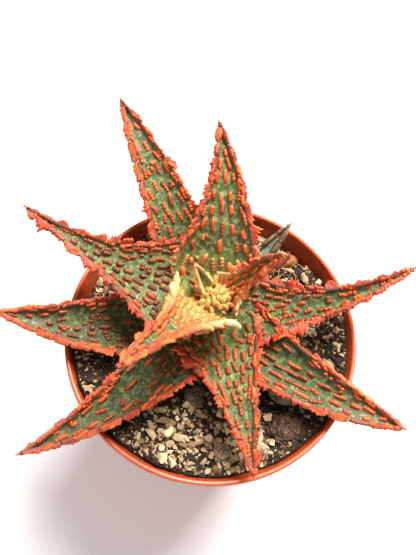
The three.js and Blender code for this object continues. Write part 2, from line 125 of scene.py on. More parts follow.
class Seed(IntEnum):
    """First numbers of the random draws, each followed by the number of the leaf, stone or layer."""

    RIDGE_SHAPES = 5
    FIBRES = 17
    GRIT_SHAPES = 40
    LIP = 40
    CHIP_SHAPES = 60
    TEETH = 60
    PLATES = 80
    CROWN = 91
    GRIT = 201
    CRUMBS = 202
    FINE_CRUMBS = 203
    SAND = 207
    BLADES = 300
    CRESTS = 500
    RIDGES = 700
    STONES = 820


class Dice:
    """The same repeatable dice that the CAD source throws, so each crest plate keeps its place."""

    def __init__(self, seed: int) -> None:
        """Starts the dice from a seed."""
        self.state = (seed * 7919 + 12345) & 0xFFFFFFFF
        for _ in range(3):
            self.next()

    def next(self) -> float:
        """Gives the next number between 0 and 1."""
        self.state = (self.state * 1664525 + 1013904223) & 0xFFFFFFFF
        return self.state / 4294967296

    def between(self, low: float, high: float) -> float:
        """Gives the next number between low and high."""
        return low + (high - low) * self.next()


# Meshes


@dataclass
class Shell:
    """Points, faces and named values that become one mesh.

    Attributes:
        points: Places in millimetres, one row a point.
        faces: Point numbers of each face.
        values: Numbers kept at each point, by name.
        slots: Material slot of each face.
    """

    points: Array
    faces: list[tuple[int, ...]]
    values: dict[str, Array] = field(default_factory=dict)
    slots: list[int] = field(default_factory=list)

    def mesh(self, name: str, soft: bool = True) -> Mesh:
        """Makes the Blender mesh.

        Args:
            name: Name of the mesh.
            soft: Whether faces are shaded smooth.

        Returns:
            The mesh, in metres.
        """
        mesh = bpy.data.meshes.new(name)
        mesh.from_pydata((np.asarray(self.points) * MM).tolist(), [], self.faces)
        for key, value in self.values.items():
            kind = "FLOAT_VECTOR" if value.ndim == 2 else "FLOAT"
            made = mesh.attributes.new(key, kind, "POINT")
            made.data.foreach_set("vector" if value.ndim == 2 else "value", value.ravel())
        if self.slots:
            mesh.polygons.foreach_set("material_index", self.slots)
        if soft:
            mesh.shade_smooth()
        mesh.validate()
        mesh.update()
        return mesh


def joined(shells: list[Shell]) -> Shell:
    """Puts several shells into one, keeping their named values.

    Args:
        shells: The shells, each with a slot for every face.

    Returns:
        One shell with all their points and faces.
    """
    names = {name for shell in shells for name in shell.values}
    points, faces, slots, first = [], [], [], 0
    values: dict[str, list[Array]] = {name: [] for name in names}
    for shell in shells:
        count = len(shell.points)
        points.append(shell.points)
        faces += [tuple(k + first for k in face) for face in shell.faces]
        slots += shell.slots or [0] * len(shell.faces)
        for name in names:
            like = next(s.values[name] for s in shells if name in s.values)
            blank = np.zeros((count, 3)) if like.ndim == 2 else np.zeros(count)
            values[name].append(shell.values.get(name, blank))
        first += count
    merged = {name: np.concatenate(parts) for name, parts in values.items()}
    return Shell(np.concatenate(points), faces, merged, slots)


def closed_tube(rings: Array, values: dict[str, Array] | None = None) -> Shell:
    """A tube through rings of points, closed with a fan at each end.

    Args:
        rings: Points as rows, points round each ring, and three coordinates.
        values: Numbers kept at each ring point, by name.

    Returns:
        The closed shell.
    """
    rows, around = rings.shape[:2]
    points = np.concatenate([rings.reshape(-1, 3), rings[0].mean(0)[None], rings[-1].mean(0)[None]])
    low, high, last = rows * around, rows * around + 1, (rows - 1) * around
    faces = [(i + j, i + k, i + k + around, i + j + around) for i in range(0, last, around)
             for j, k in zip(range(around), [*range(1, around), 0])]
    faces += [(low, (j + 1) % around, j) for j in range(around)]
    faces += [(high, last + j, last + (j + 1) % around) for j in range(around)]
    kept = {}
    for name, value in (values or {}).items():
        flat = value.reshape(rows * around, *value.shape[2:])
        ends = np.stack([value[0].mean(0), value[-1].mean(0)])
        kept[name] = np.concatenate([flat, ends])
    return Shell(points, faces, kept)


def outward(mesh: Mesh) -> None:
    """Turns the faces of a closed mesh so that they all point outwards."""
    work = bmesh.new()
    work.from_mesh(mesh)
    bmesh.ops.recalc_face_normals(work, faces=work.faces)
    work.to_mesh(mesh)
    work.free()


def add_piece(name: str, shell: Shell, finishes: list[Material], soft: bool = True) -> Thing:
    """Makes a shell into a piece at the origin, with its faces outwards.

    Args:
        name: Name of the piece.
        shell: Its closed shell.
        finishes: Materials for its slots, in order.
        soft: Whether faces are shaded smooth.

    Returns:
        The new object.
    """
    mesh = shell.mesh(name, soft)
    outward(mesh)
    for finish in finishes:
        mesh.materials.append(finish)
    return linked(name, mesh)


def linked(name: str, data: bpy.types.ID) -> Thing:
    """Puts a mesh, a light or a camera in the scene as an object at the origin."""
    thing = bpy.data.objects.new(name, data)
    bpy.context.scene.collection.objects.link(thing)
    return thing


def bake(piece: Thing) -> None:
    """Makes a piece with modifiers a plain mesh."""
    graph = bpy.context.evaluated_depsgraph_get()
    plain = bpy.data.meshes.new_from_object(piece.evaluated_get(graph), preserve_all_data_layers=True,
                                            depsgraph=graph)
    piece.modifiers.clear()
    piece.data = plain


def settle(piece: Thing, node: str, slot: str) -> None:
    """Says which CAD node a finished piece stands for, and reports it.

    Args:
        piece: The finished piece.
        node: CAD node that it replaces.
        slot: Material slot of the record that its finish comes from; not used.
    """
    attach(piece, "root")
    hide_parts(node)
    piece.data.calc_loop_triangles()
    LOG.info("%s: %d triangles, stands for %s", piece.name, len(piece.data.loop_triangles), node)


# Node trees


class Graph:
    """Adds nodes to one tree, with their options and links, in short calls."""

    def __init__(self, tree: Tree) -> None:
        """Takes the tree that the nodes go into."""
        self.tree = tree

    def add(self, kind: str, inputs: dict | None = None, **options: object) -> Node:
        """Adds a node.

        Args:
            kind: Blender's name for the node.
            inputs: Values or sockets for its inputs, by name or number.
            **options: Settings of the node itself.

        Returns:
            The new node.
        """
        node = self.tree.nodes.new(kind)
        for key, value in options.items():
            setattr(node, key, value)
        for key, value in (inputs or {}).items():
            if isinstance(value, Socket):
                self.tree.links.new(value, node.inputs[key])
            else:
                node.inputs[key].default_value = value
        return node

    def value(self, name: str, output: str = "Fac") -> Socket:
        """Reads a number kept on the mesh, or three with the output "Vector"."""
        return self.add("ShaderNodeAttribute", attribute_name=name).outputs[output]

    def noise(self, vector: Socket, scale: object, detail: float, rough: float) -> Socket:
        """Adds noise of a scale in cells a metre."""
        inputs = {"Vector": vector, "Scale": scale, "Detail": detail, "Roughness": rough}
        return self.add("ShaderNodeTexNoise", inputs).outputs["Fac"]

    def cells(self, vector: Socket, scale: object) -> Socket:
        """Adds the distance to the nearest of many scattered points."""
        return self.add("ShaderNodeTexVoronoi", {"Vector": vector, "Scale": scale}).outputs["Distance"]

    def range(self, value: Socket, low: float, high: float, start: float = 0, end: float = 1) -> Socket:
        """Maps low..high smoothly onto start..end."""
        inputs = {0: value, 1: low, 2: high, 3: start, 4: end}
        return self.add("ShaderNodeMapRange", inputs, interpolation_type="SMOOTHSTEP").outputs[0]

    def math(self, operation: str, first: object, second: object) -> Socket:
        """Joins two numbers by one operation."""
        return self.add("ShaderNodeMath", {0: first, 1: second}, operation=operation).outputs[0]

    def times(self, first: object, second: object) -> Socket:
        """Multiplies two numbers."""
        return self.math("MULTIPLY", first, second)

    def plus(self, first: object, second: object) -> Socket:
        """Adds two numbers."""
        return self.math("ADD", first, second)

    def mix(self, factor: object, first: object, second: object) -> Socket:
        """Mixes two colours by a factor."""
        return self.add("ShaderNodeMix", {0: factor, 6: first, 7: second}, data_type="RGBA").outputs[2]

    def over(self, colour: object, *coats: tuple[object, object]) -> Socket:
        """Lays colours over a first one, each by its own factor.

        Args:
            colour: The first colour.
            *coats: Factor and colour of each layer.

        Returns:
            The mixed colour.
        """
        for factor, coat in coats:
            colour = self.mix(factor, colour, coat)
        return colour

    def ramp(self, value: Socket, stops: Stops) -> Socket:
        """Turns a number into a colour through stops of place and colour."""
        node = self.add("ShaderNodeValToRGB", {0: value})
        elements = node.color_ramp.elements
        while len(elements) < len(stops):
            elements.new(0.5)
        for element, (place, colour) in zip(elements, stops):
            element.position, element.color = place, colour
        return node.outputs["Color"]


class Effect(Graph):
    """A shader node group that takes a place and numbers, and gives numbers."""

    def __init__(self, name: str, takes: tuple[str, ...], gives: tuple[str, ...]) -> None:
        """Makes the group with its sockets.

        Args:
            name: Name of the group.
            takes: Names of the numbers that it takes beside the place.
            gives: Names of the numbers that it gives.
        """
        super().__init__(bpy.data.node_groups.new(name, "ShaderNodeTree"))
        sockets = [("Vector", "INPUT", "Vector"), *((key, "INPUT", "Float") for key in takes),
                   *((key, "OUTPUT", "Float") for key in gives)]
        for key, way, kind in sockets:
            self.tree.interface.new_socket(key, in_out=way, socket_type="NodeSocket" + kind)
        self.taken = tuple(self.add("NodeGroupInput").outputs)[:-1]
        self.end = self.add("NodeGroupOutput")

    def give(self, *sockets: Socket) -> None:
        """Hands the sockets to the group's outputs, in order."""
        for number, socket in enumerate(sockets):
            self.tree.links.new(socket, self.end.inputs[number])


class Effects:
    """The shader effects that several finishes share."""

    def __init__(self) -> None:
        """Builds each group once."""
        self.patches, self.skin, self.mineral = self.blotched(), self.plant_skin(), self.broken()

    def blotched(self) -> Tree:
        """Soft blotches with finer mottling in them, as a mask."""
        graph = Effect("patches", ("Scale", "Low", "High"), ("Mask",))
        vector, scale, low, high = graph.taken
        broad = graph.noise(vector, scale, 2, 0.5)
        fine = graph.noise(vector, graph.times(scale, 3.7), 5, 0.7)
        both = graph.plus(graph.times(broad, 0.6), graph.times(fine, 0.4))
        graph.give(graph.add("ShaderNodeMapRange", {0: both, 1: low, 2: high}).outputs[0])
        return graph.tree

    def plant_skin(self) -> Tree:
        """Small pits between cells and soft wrinkles, as a height and a pit mask."""
        graph = Effect("plant_skin", ("Scale",), ("Height", "Pits"))
        vector, scale = graph.taken
        wrinkles = graph.noise(vector, graph.times(scale, 0.45), 4, 0.6)
        pits = graph.range(graph.cells(vector, scale), 0.08, 0.3, 1, 0)
        graph.give(graph.math("SUBTRACT", graph.times(wrinkles, 1.2), graph.times(pits, 0.5)), pits)
        return graph.tree

    def broken(self) -> Tree:
        """Broken mineral: grains of light and dark, and a rough height."""
        graph = Effect("mineral", ("Scale",), ("Grain", "Height"))
        vector, scale = graph.taken
        coarse, cells = graph.noise(vector, scale, 6, 0.65), graph.cells(vector, graph.times(scale, 4))
        grain = graph.plus(graph.times(coarse, 0.65), graph.times(cells, 0.4))
        graph.give(grain, graph.math("SUBTRACT", coarse, graph.times(cells, 0.3)))
        return graph.tree


# Finishes


class Paint(Graph):
    """The nodes of one finish, round its Principled shader, with the shared effects at hand."""

    def __init__(self, name: str, roughness: float, effects: Effects | None) -> None:
        """Makes the material.

        Args:
            name: Name of the material.
            roughness: How dull the surface is where nothing varies it.
            effects: The shared shader groups.
        """
        self.material = bpy.data.materials.new(name)
        self.material.use_nodes = True
        super().__init__(self.material.node_tree)
        self.effects = effects
        self.inputs = self.tree.nodes["Principled BSDF"].inputs
        self.inputs["Roughness"].default_value = roughness
        self.place = self.add("ShaderNodeTexCoord").outputs["Object"]

    def patches(self, scale: float, low: float, high: float, vector: Socket | None = None) -> Socket:
        """Adds a mask of soft blotches.

        Args:
            scale: Blotches a metre, or a millimetre where the vector is in millimetres.
            low: Noise at which the mask starts.
            high: Noise at which it is full.
            vector: Place that it reads, or none for the object's own.

        Returns:
            The mask.
        """
        inputs = {"Vector": vector or self.place, "Scale": scale, "Low": low, "High": high}
        return self.add("ShaderNodeGroup", inputs, node_tree=self.effects.patches).outputs[0]

    def detail(self, tree: Tree, scale: float) -> bpy.types.bpy_prop_collection:
        """Adds the plant skin or the broken mineral and gives its outputs."""
        return self.add("ShaderNodeGroup", {"Vector": self.place, "Scale": scale}, node_tree=tree).outputs

    def coat(self, colour: Socket, rough: Socket | None = None) -> None:
        """Hands the colour and the roughness to the shader."""
        self.tree.links.new(colour, self.inputs["Base Color"])
        if rough:
            self.tree.links.new(rough, self.inputs["Roughness"])

    def raise_by(self, height: Socket, depth: float) -> None:
        """Raises the surface by a height, to a depth in metres."""
        node = self.add("ShaderNodeBump", {"Height": height, "Strength": 1.0, "Distance": depth})
        self.tree.links.new(node.outputs["Normal"], self.inputs["Normal"])

    def soften(self, weight: float, scale: float) -> None:
        """Lets light into the surface, to a depth in metres."""
        self.inputs["Subsurface Weight"].default_value = weight
        self.inputs["Subsurface Scale"].default_value = scale


@dataclass(frozen=True)
class Finish:
    """What every finish starts from.

    Attributes:
        name: Name of the material.
        roughness: How dull the surface is where nothing varies it.
    """

    name: str
    roughness: float = 0.5

    def material(self, effects: Effects | None = None) -> Material:
        """Builds the material.

        Args:
            effects: The shared shader groups.

        Returns:
            The material.
        """
        paint = Paint(self.name, self.roughness, effects)
        self.lay_on(paint)
        return paint.material

    def lay_on(self, paint: Paint) -> None:
        """Adds the finish's own nodes."""
        raise NotImplementedError


@dataclass(frozen=True)
class LeafFinish(Finish):
    """Leaf skin: mottled grey-green, yellow-green at the heart, mauve at the tips and below, with painted shade in
    the pits and on lower leaves.

    Attributes:
        deep: Dark colour of the blotches, also used as painted shade in the pits and on lower leaves.
        green: Main colour.
        light: Colour of the bloom.
        bright: Colour beside the ridges.
        heart: Colours of the young base.
        mauve: Colours of margins, tips and undersides.
        old: Colours of the old leaf.
        dry: Colours of its dry end.
        spine: Colour of the spine.
    """

    deep: Colour = srgb(34, 38, 14)
    green: Colour = srgb(80, 94, 44)
    light: Colour = srgb(148, 157, 99)
    bright: Colour = srgb(160, 168, 106)
    heart: Pair = (srgb(186, 184, 112), srgb(100, 122, 46))
    mauve: Pair = (srgb(140, 122, 104), srgb(166, 152, 124))
    old: Pair = (srgb(74, 92, 80), srgb(120, 136, 110))
    dry: Pair = (srgb(120, 86, 60), srgb(88, 62, 46))
    spine: Colour = srgb(206, 92, 52)

    def lay_on(self, paint: Paint) -> None:
        """Adds the blotches, the painted shade in the pits and the colours of each zone of the leaf."""
        broad = paint.patches(210.0, 0.36, 0.64)
        fine = paint.patches(0.9, 0.45, 0.59, paint.value("lay", "Vector"))
        skin = paint.detail(paint.effects.skin, 1250.0)
        along = paint.value("along")
        far = paint.times(paint.range(along, 0.55, 1.0, 0, 0.75), broad)
        rim = paint.range(paint.value("across"), 0.84, 1.0, 0, 0.8)
        edges = paint.math("MAXIMUM", paint.math("MAXIMUM", far, rim), paint.times(paint.value("under"), 0.35))
        colour = paint.over(
            paint.mix(broad, self.deep, self.green),
            (paint.times(fine, 0.8), self.light),
            # Painted shade: the pits of the skin are darkened towards the deep green.
            (paint.times(skin["Pits"], 0.6), self.deep),
            (paint.times(paint.value("halo"), 0.3), self.bright),
            # Painted shade: lower leaves are darkened towards the deep green, partly for their older skin and partly
            # as painted shade.
            (paint.value("dim"), self.deep),
            (edges, paint.mix(fine, *self.mauve)),
            (paint.value("old"), paint.mix(fine, *self.old)),
            (paint.value("pale"), paint.mix(broad, *self.heart)),
            (paint.value("dry"), paint.mix(fine, *self.dry)),
            (paint.range(along, 0.965, 0.99), self.spine))
        paint.coat(colour, paint.range(fine, 0.0, 1.0, 0.42, 0.62))
        paint.raise_by(paint.plus(skin["Height"], paint.times(fine, 0.8)), 0.00016)
        paint.soften(0.06, 0.002)


@dataclass(frozen=True)
class CrestFinish(Finish):
    """Margin crest: coral with red streaks and a bright orange lip.

    Attributes:
        tones: Main colours, from the brightest plate to the darkest.
        red: Colour of the streaks.
        rosy: Colour of the blotches.
        lip: Colour of the outermost edge.
        root: Colour where the crest leaves the blade.
        old: Colours on the old leaf.
        cream: Colours at the heart, on the plate and on its lip.
    """

    tones: Stops = ((0.0, srgb(222, 92, 44)), (0.3, srgb(206, 66, 36)), (0.65, srgb(168, 48, 30)),
                    (1.0, srgb(104, 44, 30)))
    red: Colour = srgb(148, 38, 20)
    rosy: Colour = srgb(218, 104, 70)
    lip: Colour = srgb(244, 134, 62)
    root: Colour = srgb(124, 92, 74)
    old: Pair = (srgb(126, 92, 66), srgb(86, 66, 52))
    cream: Pair = (srgb(240, 226, 158), srgb(240, 160, 110))

    def lay_on(self, paint: Paint) -> None:
        """Adds the streaks, the root and the lip of the crest."""
        stretch = {"Vector": paint.value("lay", "Vector"), "Scale": (1.0, 0.22, 1.0)}
        streak = paint.noise(paint.add("ShaderNodeMapping", stretch).outputs[0], 2.2, 4, 0.6)
        broad = paint.patches(330.0, 0.4, 0.62)
        edge, tone = paint.value("edge"), paint.value("tone")
        lip = paint.times(paint.range(edge, 0.84, 1.0), paint.range(streak, 0.3, 0.6, 0.3, 1))
        lip = paint.times(lip, paint.range(tone, 0.2, 0.8, 1, 0.25))
        colour = paint.over(
            paint.ramp(tone, self.tones),
            (paint.times(paint.range(streak, 0.42, 0.68), 0.7), self.red),
            (paint.times(broad, 0.3), self.rosy),
            (paint.range(edge, 0.0, 0.3, 0.85, 0), self.root),
            (lip, self.lip),
            (paint.value("old"), paint.mix(broad, *self.old)),
            (paint.value("pale"), paint.mix(paint.times(lip, 0.6), *self.cream)))
        paint.coat(colour, paint.range(broad, 0.0, 1.0, 0.36, 0.56))
        skin = paint.detail(paint.effects.skin, 2600.0)
        paint.raise_by(paint.plus(skin["Height"], paint.times(streak, 2.2)), 0.00014)
        paint.soften(0.04, 0.0018)


@dataclass(frozen=True)
class RidgeFinish(Finish):
    """Raised ridges on the leaf: brick to coral, cream at the heart, with a light foot.

    Attributes:
        tones: Main colours, from the brightest ridge to the darkest.
        rosy: Colour of the blotches.
        top: Colour of a dark ridge's top.
        foot: Colour of the foot.
        cream: Colours at the heart, low and high on the ridge.
        butter: Colour of the blotches at the heart.
    """

    tones: Stops = ((0.0, srgb(218, 98, 42)), (0.35, srgb(172, 76, 36)), (0.7, srgb(114, 58, 33)),
                    (1.0, srgb(80, 44, 28)))
    rosy: Colour = srgb(198, 108, 60)
    top: Colour = srgb(92, 44, 30)
    foot: Colour = srgb(156, 142, 78)
    cream: Pair = (srgb(244, 224, 146), srgb(230, 130, 78))
    butter: Colour = srgb(240, 222, 140)

    def lay_on(self, paint: Paint) -> None:
        """Adds the colours from foot to top, and cream at the heart."""
        tone, rise = paint.value("tone"), paint.value("rise")
        broad = paint.patches(700.0, 0.42, 0.6)
        cream = paint.mix(paint.range(rise, 0.3, 0.8), *self.cream)
        colour = paint.over(
            paint.ramp(tone, self.tones),
            (paint.times(broad, 0.35), self.rosy),
            (paint.times(paint.range(rise, 0.7, 1.0), paint.times(tone, 0.75)), self.top),
            (paint.range(rise, 0.0, 0.34, 0.75, 0), self.foot),
            (paint.value("pale"), paint.mix(paint.times(broad, 0.3), cream, self.butter)))
        paint.coat(colour, paint.range(broad, 0.0, 1.0, 0.3, 0.46))
        paint.raise_by(paint.detail(paint.effects.skin, 3200.0)["Height"], 0.00012)
        paint.soften(0.1, 0.0015)


@dataclass(frozen=True)
class PlasticFinish(Finish):
    """Thin terracotta-coloured plastic with faint mould lines, painted shade inside and compost dust inside.

    Attributes:
        colour: Main colour.
        shade: Colour of the slightly darker blotches.
        line: Colour of the mould lines.
        inner: Colour of the painted shade on the inside of the wall.
        dust: Colour of the compost dust.
    """

    colour: Colour = srgb(204, 88, 44)
    shade: Colour = srgb(172, 66, 32)
    line: Colour = srgb(222, 112, 66)
    inner: Colour = srgb(120, 56, 30)
    dust: Colour = srgb(58, 38, 26)

    def lay_on(self, paint: Paint) -> None:
        """Adds the blotches, the mould lines, the painted shade inside and the dust."""
        broad = paint.patches(60.0, 0.38, 0.62)
        flow = paint.add("ShaderNodeMapping", {"Vector": paint.place, "Scale": (1.0, 1.0, 0.05)}).outputs[0]
        streak = paint.noise(flow, 420.0, 3, 0.5)
        inside = paint.value("inside")
        dusty = paint.times(paint.times(paint.patches(420.0, 0.44, 0.58), inside), 0.35)
        colour = paint.over(
            self.colour,
            (paint.times(broad, 0.35), self.shade),
            (paint.range(streak, 0.5, 0.75, 0, 0.25), self.line),
            # Painted shade: the inside of the wall is darkened towards a deep brown.
            (paint.times(inside, 0.45), self.inner),
            (dusty, self.dust))
        paint.coat(colour, paint.plus(paint.range(broad, 0.0, 1.0, 0.3, 0.42), paint.times(dusty, 0.4)))
        paint.raise_by(paint.plus(paint.times(streak, 0.5), paint.noise(paint.place, 1600.0, 2, 0.5)), 0.00003)
        paint.soften(0.05, 0.002)


@dataclass(frozen=True)
class CompostFinish(Finish):
    """Damp peat: near-black brown with lighter fibres and crumbs.

    Attributes:
        grains: Colours of the grains.
        damp: Colour of the damp blotches.
        bark: Colour of the lightest crumbs.
    """

    grains: Stops = ((0.3, srgb(18, 11, 7)), (0.5, srgb(40, 26, 17)), (0.66, srgb(78, 53, 35)))
    damp: Colour = srgb(36, 24, 16)
    bark: Colour = srgb(116, 80, 54)

    def lay_on(self, paint: Paint) -> None:
        """Adds the grains, and the shade that each crumb keeps."""
        mineral = paint.detail(paint.effects.mineral, 900.0)
        broad = paint.patches(240.0, 0.4, 0.62)
        colour = paint.over(
            paint.ramp(mineral["Grain"], self.grains),
            (paint.times(broad, 0.35), self.damp),
            (paint.times(paint.value("shade"), 0.8), self.bark))
        paint.coat(colour, paint.range(broad, 0.0, 1.0, 0.6, 0.9))
        paint.raise_by(mineral["Height"], 0.0006)


@dataclass(frozen=True)
class GritFinish(Finish):
    """Grit: cream, tan and yellow chips, each with its own shade.

    Attributes:
        shades: Colours of the chips, from the darkest.
        grain: Colour of the dark grains.
        dirt: Colour of the dirt.
    """

    shades: Stops = ((0.0, srgb(128, 98, 68)), (0.25, srgb(182, 150, 114)), (0.5, srgb(216, 188, 148)),
                     (0.75, srgb(228, 206, 170)), (1.0, srgb(226, 206, 156)))
    grain: Colour = srgb(104, 80, 56)
    dirt: Colour = srgb(84, 58, 38)

    def lay_on(self, paint: Paint) -> None:
        """Adds the shade that each chip keeps, its grains and its dirt."""
        mineral = paint.detail(paint.effects.mineral, 1400.0)
        dirt = paint.patches(700.0, 0.46, 0.62)
        colour = paint.over(
            paint.ramp(paint.value("shade"), self.shades),
            (paint.range(mineral["Grain"], 0.3, 0.65, 0.45, 0), self.grain),
            (paint.times(dirt, 0.4), self.dirt))
        paint.coat(colour, paint.range(dirt, 0.0, 1.0, 0.7, 0.9))
        paint.raise_by(mineral["Height"], 0.0003)


@dataclass(frozen=True)
class StoneFinish(Finish):
    """One loose stone's face, with grains, stains and peat in its hollows.

    Attributes:
        main: Main colour.
        stain: Colour of the stains.
        grain: Grains a metre.
        peat: Colour in the hollows.
        spark: Colour of the lightest grains.
    """

    main: Colour = srgb(170, 150, 124)
    stain: Colour = srgb(110, 88, 66)
    grain: float = 700.0
    peat: Colour = srgb(48, 35, 26)
    spark: Colour = srgb(228, 218, 200)

    def lay_on(self, paint: Paint) -> None:
        """Adds the stains and the grains."""
        mineral = paint.detail(paint.effects.mineral, self.grain)
        spots = paint.patches(300.0, 0.46, 0.64)
        colour = paint.over(
            self.main,
            (paint.times(spots, 0.7), self.stain),
            (paint.range(mineral["Grain"], 0.36, 0.56, 0.8, 0), self.peat),
            (paint.range(mineral["Grain"], 0.6, 0.75, 0, 0.15), self.spark))
        paint.coat(colour, paint.range(spots, 0.0, 1.0, 0.66, 0.88))
        paint.raise_by(mineral["Height"], 0.0011)


@dataclass(frozen=True)
class FibreFinish(Finish):
    """Dry roots and fibres, from brown to straw.

    Attributes:
        colours: The brown and the straw.
    """

    colours: Pair = (srgb(88, 62, 38), srgb(186, 152, 100))

    def lay_on(self, paint: Paint) -> None:
        """Adds the blotches and a fine roughness."""
        paint.coat(paint.mix(paint.patches(500.0, 0.4, 0.6), *self.colours))
        paint.raise_by(paint.noise(paint.place, 3000.0, 2, 0.5), 0.00005)


@dataclass(frozen=True)
class FloorFinish(Finish):
    """The plain pale floor.

    Attributes:
        greys: Its darkest and lightest grey.
    """

    greys: Pair = ((0.93, 0.93, 0.93, 1), (0.96, 0.96, 0.96, 1))

    def lay_on(self, paint: Paint) -> None:
        """Adds a very soft change of grey."""
        paint.coat(paint.mix(paint.noise(paint.place, 6.0, 2, 0.5), *self.greys))


FINISHES = {
    "leaf": LeafFinish("leaf_skin", 0.5),
    "crest": CrestFinish("margin_crest", 0.45),
    "ridge": RidgeFinish("leaf_ridge", 0.42),
    "plastic": PlasticFinish("pot_plastic", 0.36),
    "compost": CompostFinish("damp_compost", 0.8),
    "grit": GritFinish("pale_grit", 0.8),
    "fibre": FibreFinish("dry_fibre", 0.7),
}


# Scattering


class ShapeKind(Enum):
    """Families of small shapes that are laid on the pieces."""

    RIDGE = "ridge"
    GRIT = "grit"
    CHIP = "chip"


@dataclass
class Layer:
    """Small shapes of one kind, laid over a piece.

    Attributes:
        kind: Family of the shapes.
        finish: Name of their finish.
        points: Places in millimetres.
        turns: Turn of each shape.
        sizes: Size of each in millimetres, along its own axes.
        picks: Number of the shape for each place.
        values: Other numbers that each shape keeps.
    """

    kind: ShapeKind
    finish: str
    points: Array
    turns: list[Matrix]
    sizes: Array
    picks: Array
    values: dict[str, Array]

    def places(self) -> Thing:
        """Makes the object whose points say where the shapes go."""
        angles = np.array([tuple(turn.to_euler()) for turn in self.turns])
        kept = {"turn": angles, "size": self.sizes * MM, "pick": self.picks.astype(float), **self.values}
        return linked("places", Shell(self.points, [], kept).mesh("places", soft=False))


class ShapeBox:
    """Makes the small shapes, each with a few dozen faces and one unit long."""

    def __init__(self) -> None:
        """Builds a collection for each family."""
        beads = (1, 1, 2, 2, 3, 3, 4)
        kinds = {
            ShapeKind.RIDGE: [self.ridge(count, seed) for seed, count in enumerate(beads)],
            ShapeKind.GRIT: [self.chip(Seed.GRIT_SHAPES + k, (0.55, 0.42, 0.32), 10) for k in range(7)],
            ShapeKind.CHIP: [self.chip(Seed.CHIP_SHAPES + k, (0.6, 0.26, 0.12), 9) for k in range(5)],
        }
        self.boxes = {kind: self.collect(kind, shells) for kind, shells in kinds.items()}

    def collect(self, kind: ShapeKind, shells: list[Shell]) -> bpy.types.Collection:
        """Puts a family's shapes in a collection, in order of name.

        Args:
            kind: The family.
            shells: Its shapes, one unit long.

        Returns:
            The collection.
        """
        box = bpy.data.collections.new(kind.value)
        bpy.context.scene.collection.children.link(box)
        for number, shell in enumerate(shells):
            shell.points = np.asarray(shell.points) / MM
            mesh = shell.mesh(f"{kind.value}_{number}", kind is ShapeKind.RIDGE)
            outward(mesh)
            box.objects.link(bpy.data.objects.new(mesh.name, mesh))
        return box

    def ridge(self, beads: int, seed: int) -> Shell:
        """A low ridge of one to four beads, sunk foot downwards.

        Args:
            beads: How many beads stand in the row.
            seed: Chooses its unevenness.

        Returns:
            The shell.
        """
        dice = np.random.default_rng(Seed.RIDGE_SHAPES + seed)
        rows = 5 + 3 * beads
        x = np.linspace(-1, 1, rows)
        cap = np.sqrt(np.clip(1.02 - np.abs(x) ** (2.4 + beads * 0.8), 0.02, 1))
        pinch = 0.27 if beads > 1 else 0.0
        sway = 0.13 if seed % 3 == 1 else 0.03
        swell = 1 - pinch * np.abs(np.cos(np.pi * beads * (x + 1) / 2)) ** 1.5 * (np.abs(x) < 0.95)
        size = (cap * swell * dice.uniform(0.9, 1.05, rows))[:, None]
        angles = np.linspace(-0.15, np.pi + 0.15, 5)
        y, z = np.append(np.cos(angles) * 0.5, 0.0), np.append(np.sin(angles), -0.75)
        rings = np.empty((rows, 6, 3))
        rings[..., 0] = (x * 0.5)[:, None]
        rings[..., 1] = size * y + sway * np.sin(2.2 * x + seed)[:, None]
        rings[..., 2] = np.where(z > 0, size * z, z * 0.6)
        return closed_tube(rings, {"rise": np.clip(rings[..., 2], 0, 1)})

    def chip(self, seed: int, half: tuple[float, float, float], count: int) -> Shell:
        """An angular crumb: the hull of a few points.

        Args:
            seed: Chooses the points.
            half: Half sizes along its axes.
            count: How many points the hull is made from.

        Returns:
            The shell.
        """
        dice = np.random.default_rng(seed)
        spots = dice.normal(size=(count, 3))
        spots = spots / np.linalg.norm(spots, axis=1)[:, None] * dice.uniform(0.72, 1.1, (count, 1))
        work = bmesh.new()
        for spot in spots * np.array(half):
            work.verts.new(spot)
        hull = bmesh.ops.convex_hull(work, input=work.verts)
        spare = [v for v in hull["geom_interior"] if isinstance(v, bmesh.types.BMVert)]
        bmesh.ops.delete(work, geom=spare, context="VERTS")
        work.verts.ensure_lookup_table()
        work.verts.index_update()
        points = np.array([tuple(v.co) for v in work.verts])
        faces = [tuple(v.index for v in f.verts) for f in work.faces]
        work.free()
        return Shell(points, faces)

    def clear(self) -> None:
        """Takes the shapes out of the scene once all are laid."""
        for box in self.boxes.values():
            for thing in list(box.objects):
                bpy.data.objects.remove(thing)
            bpy.data.collections.remove(box)


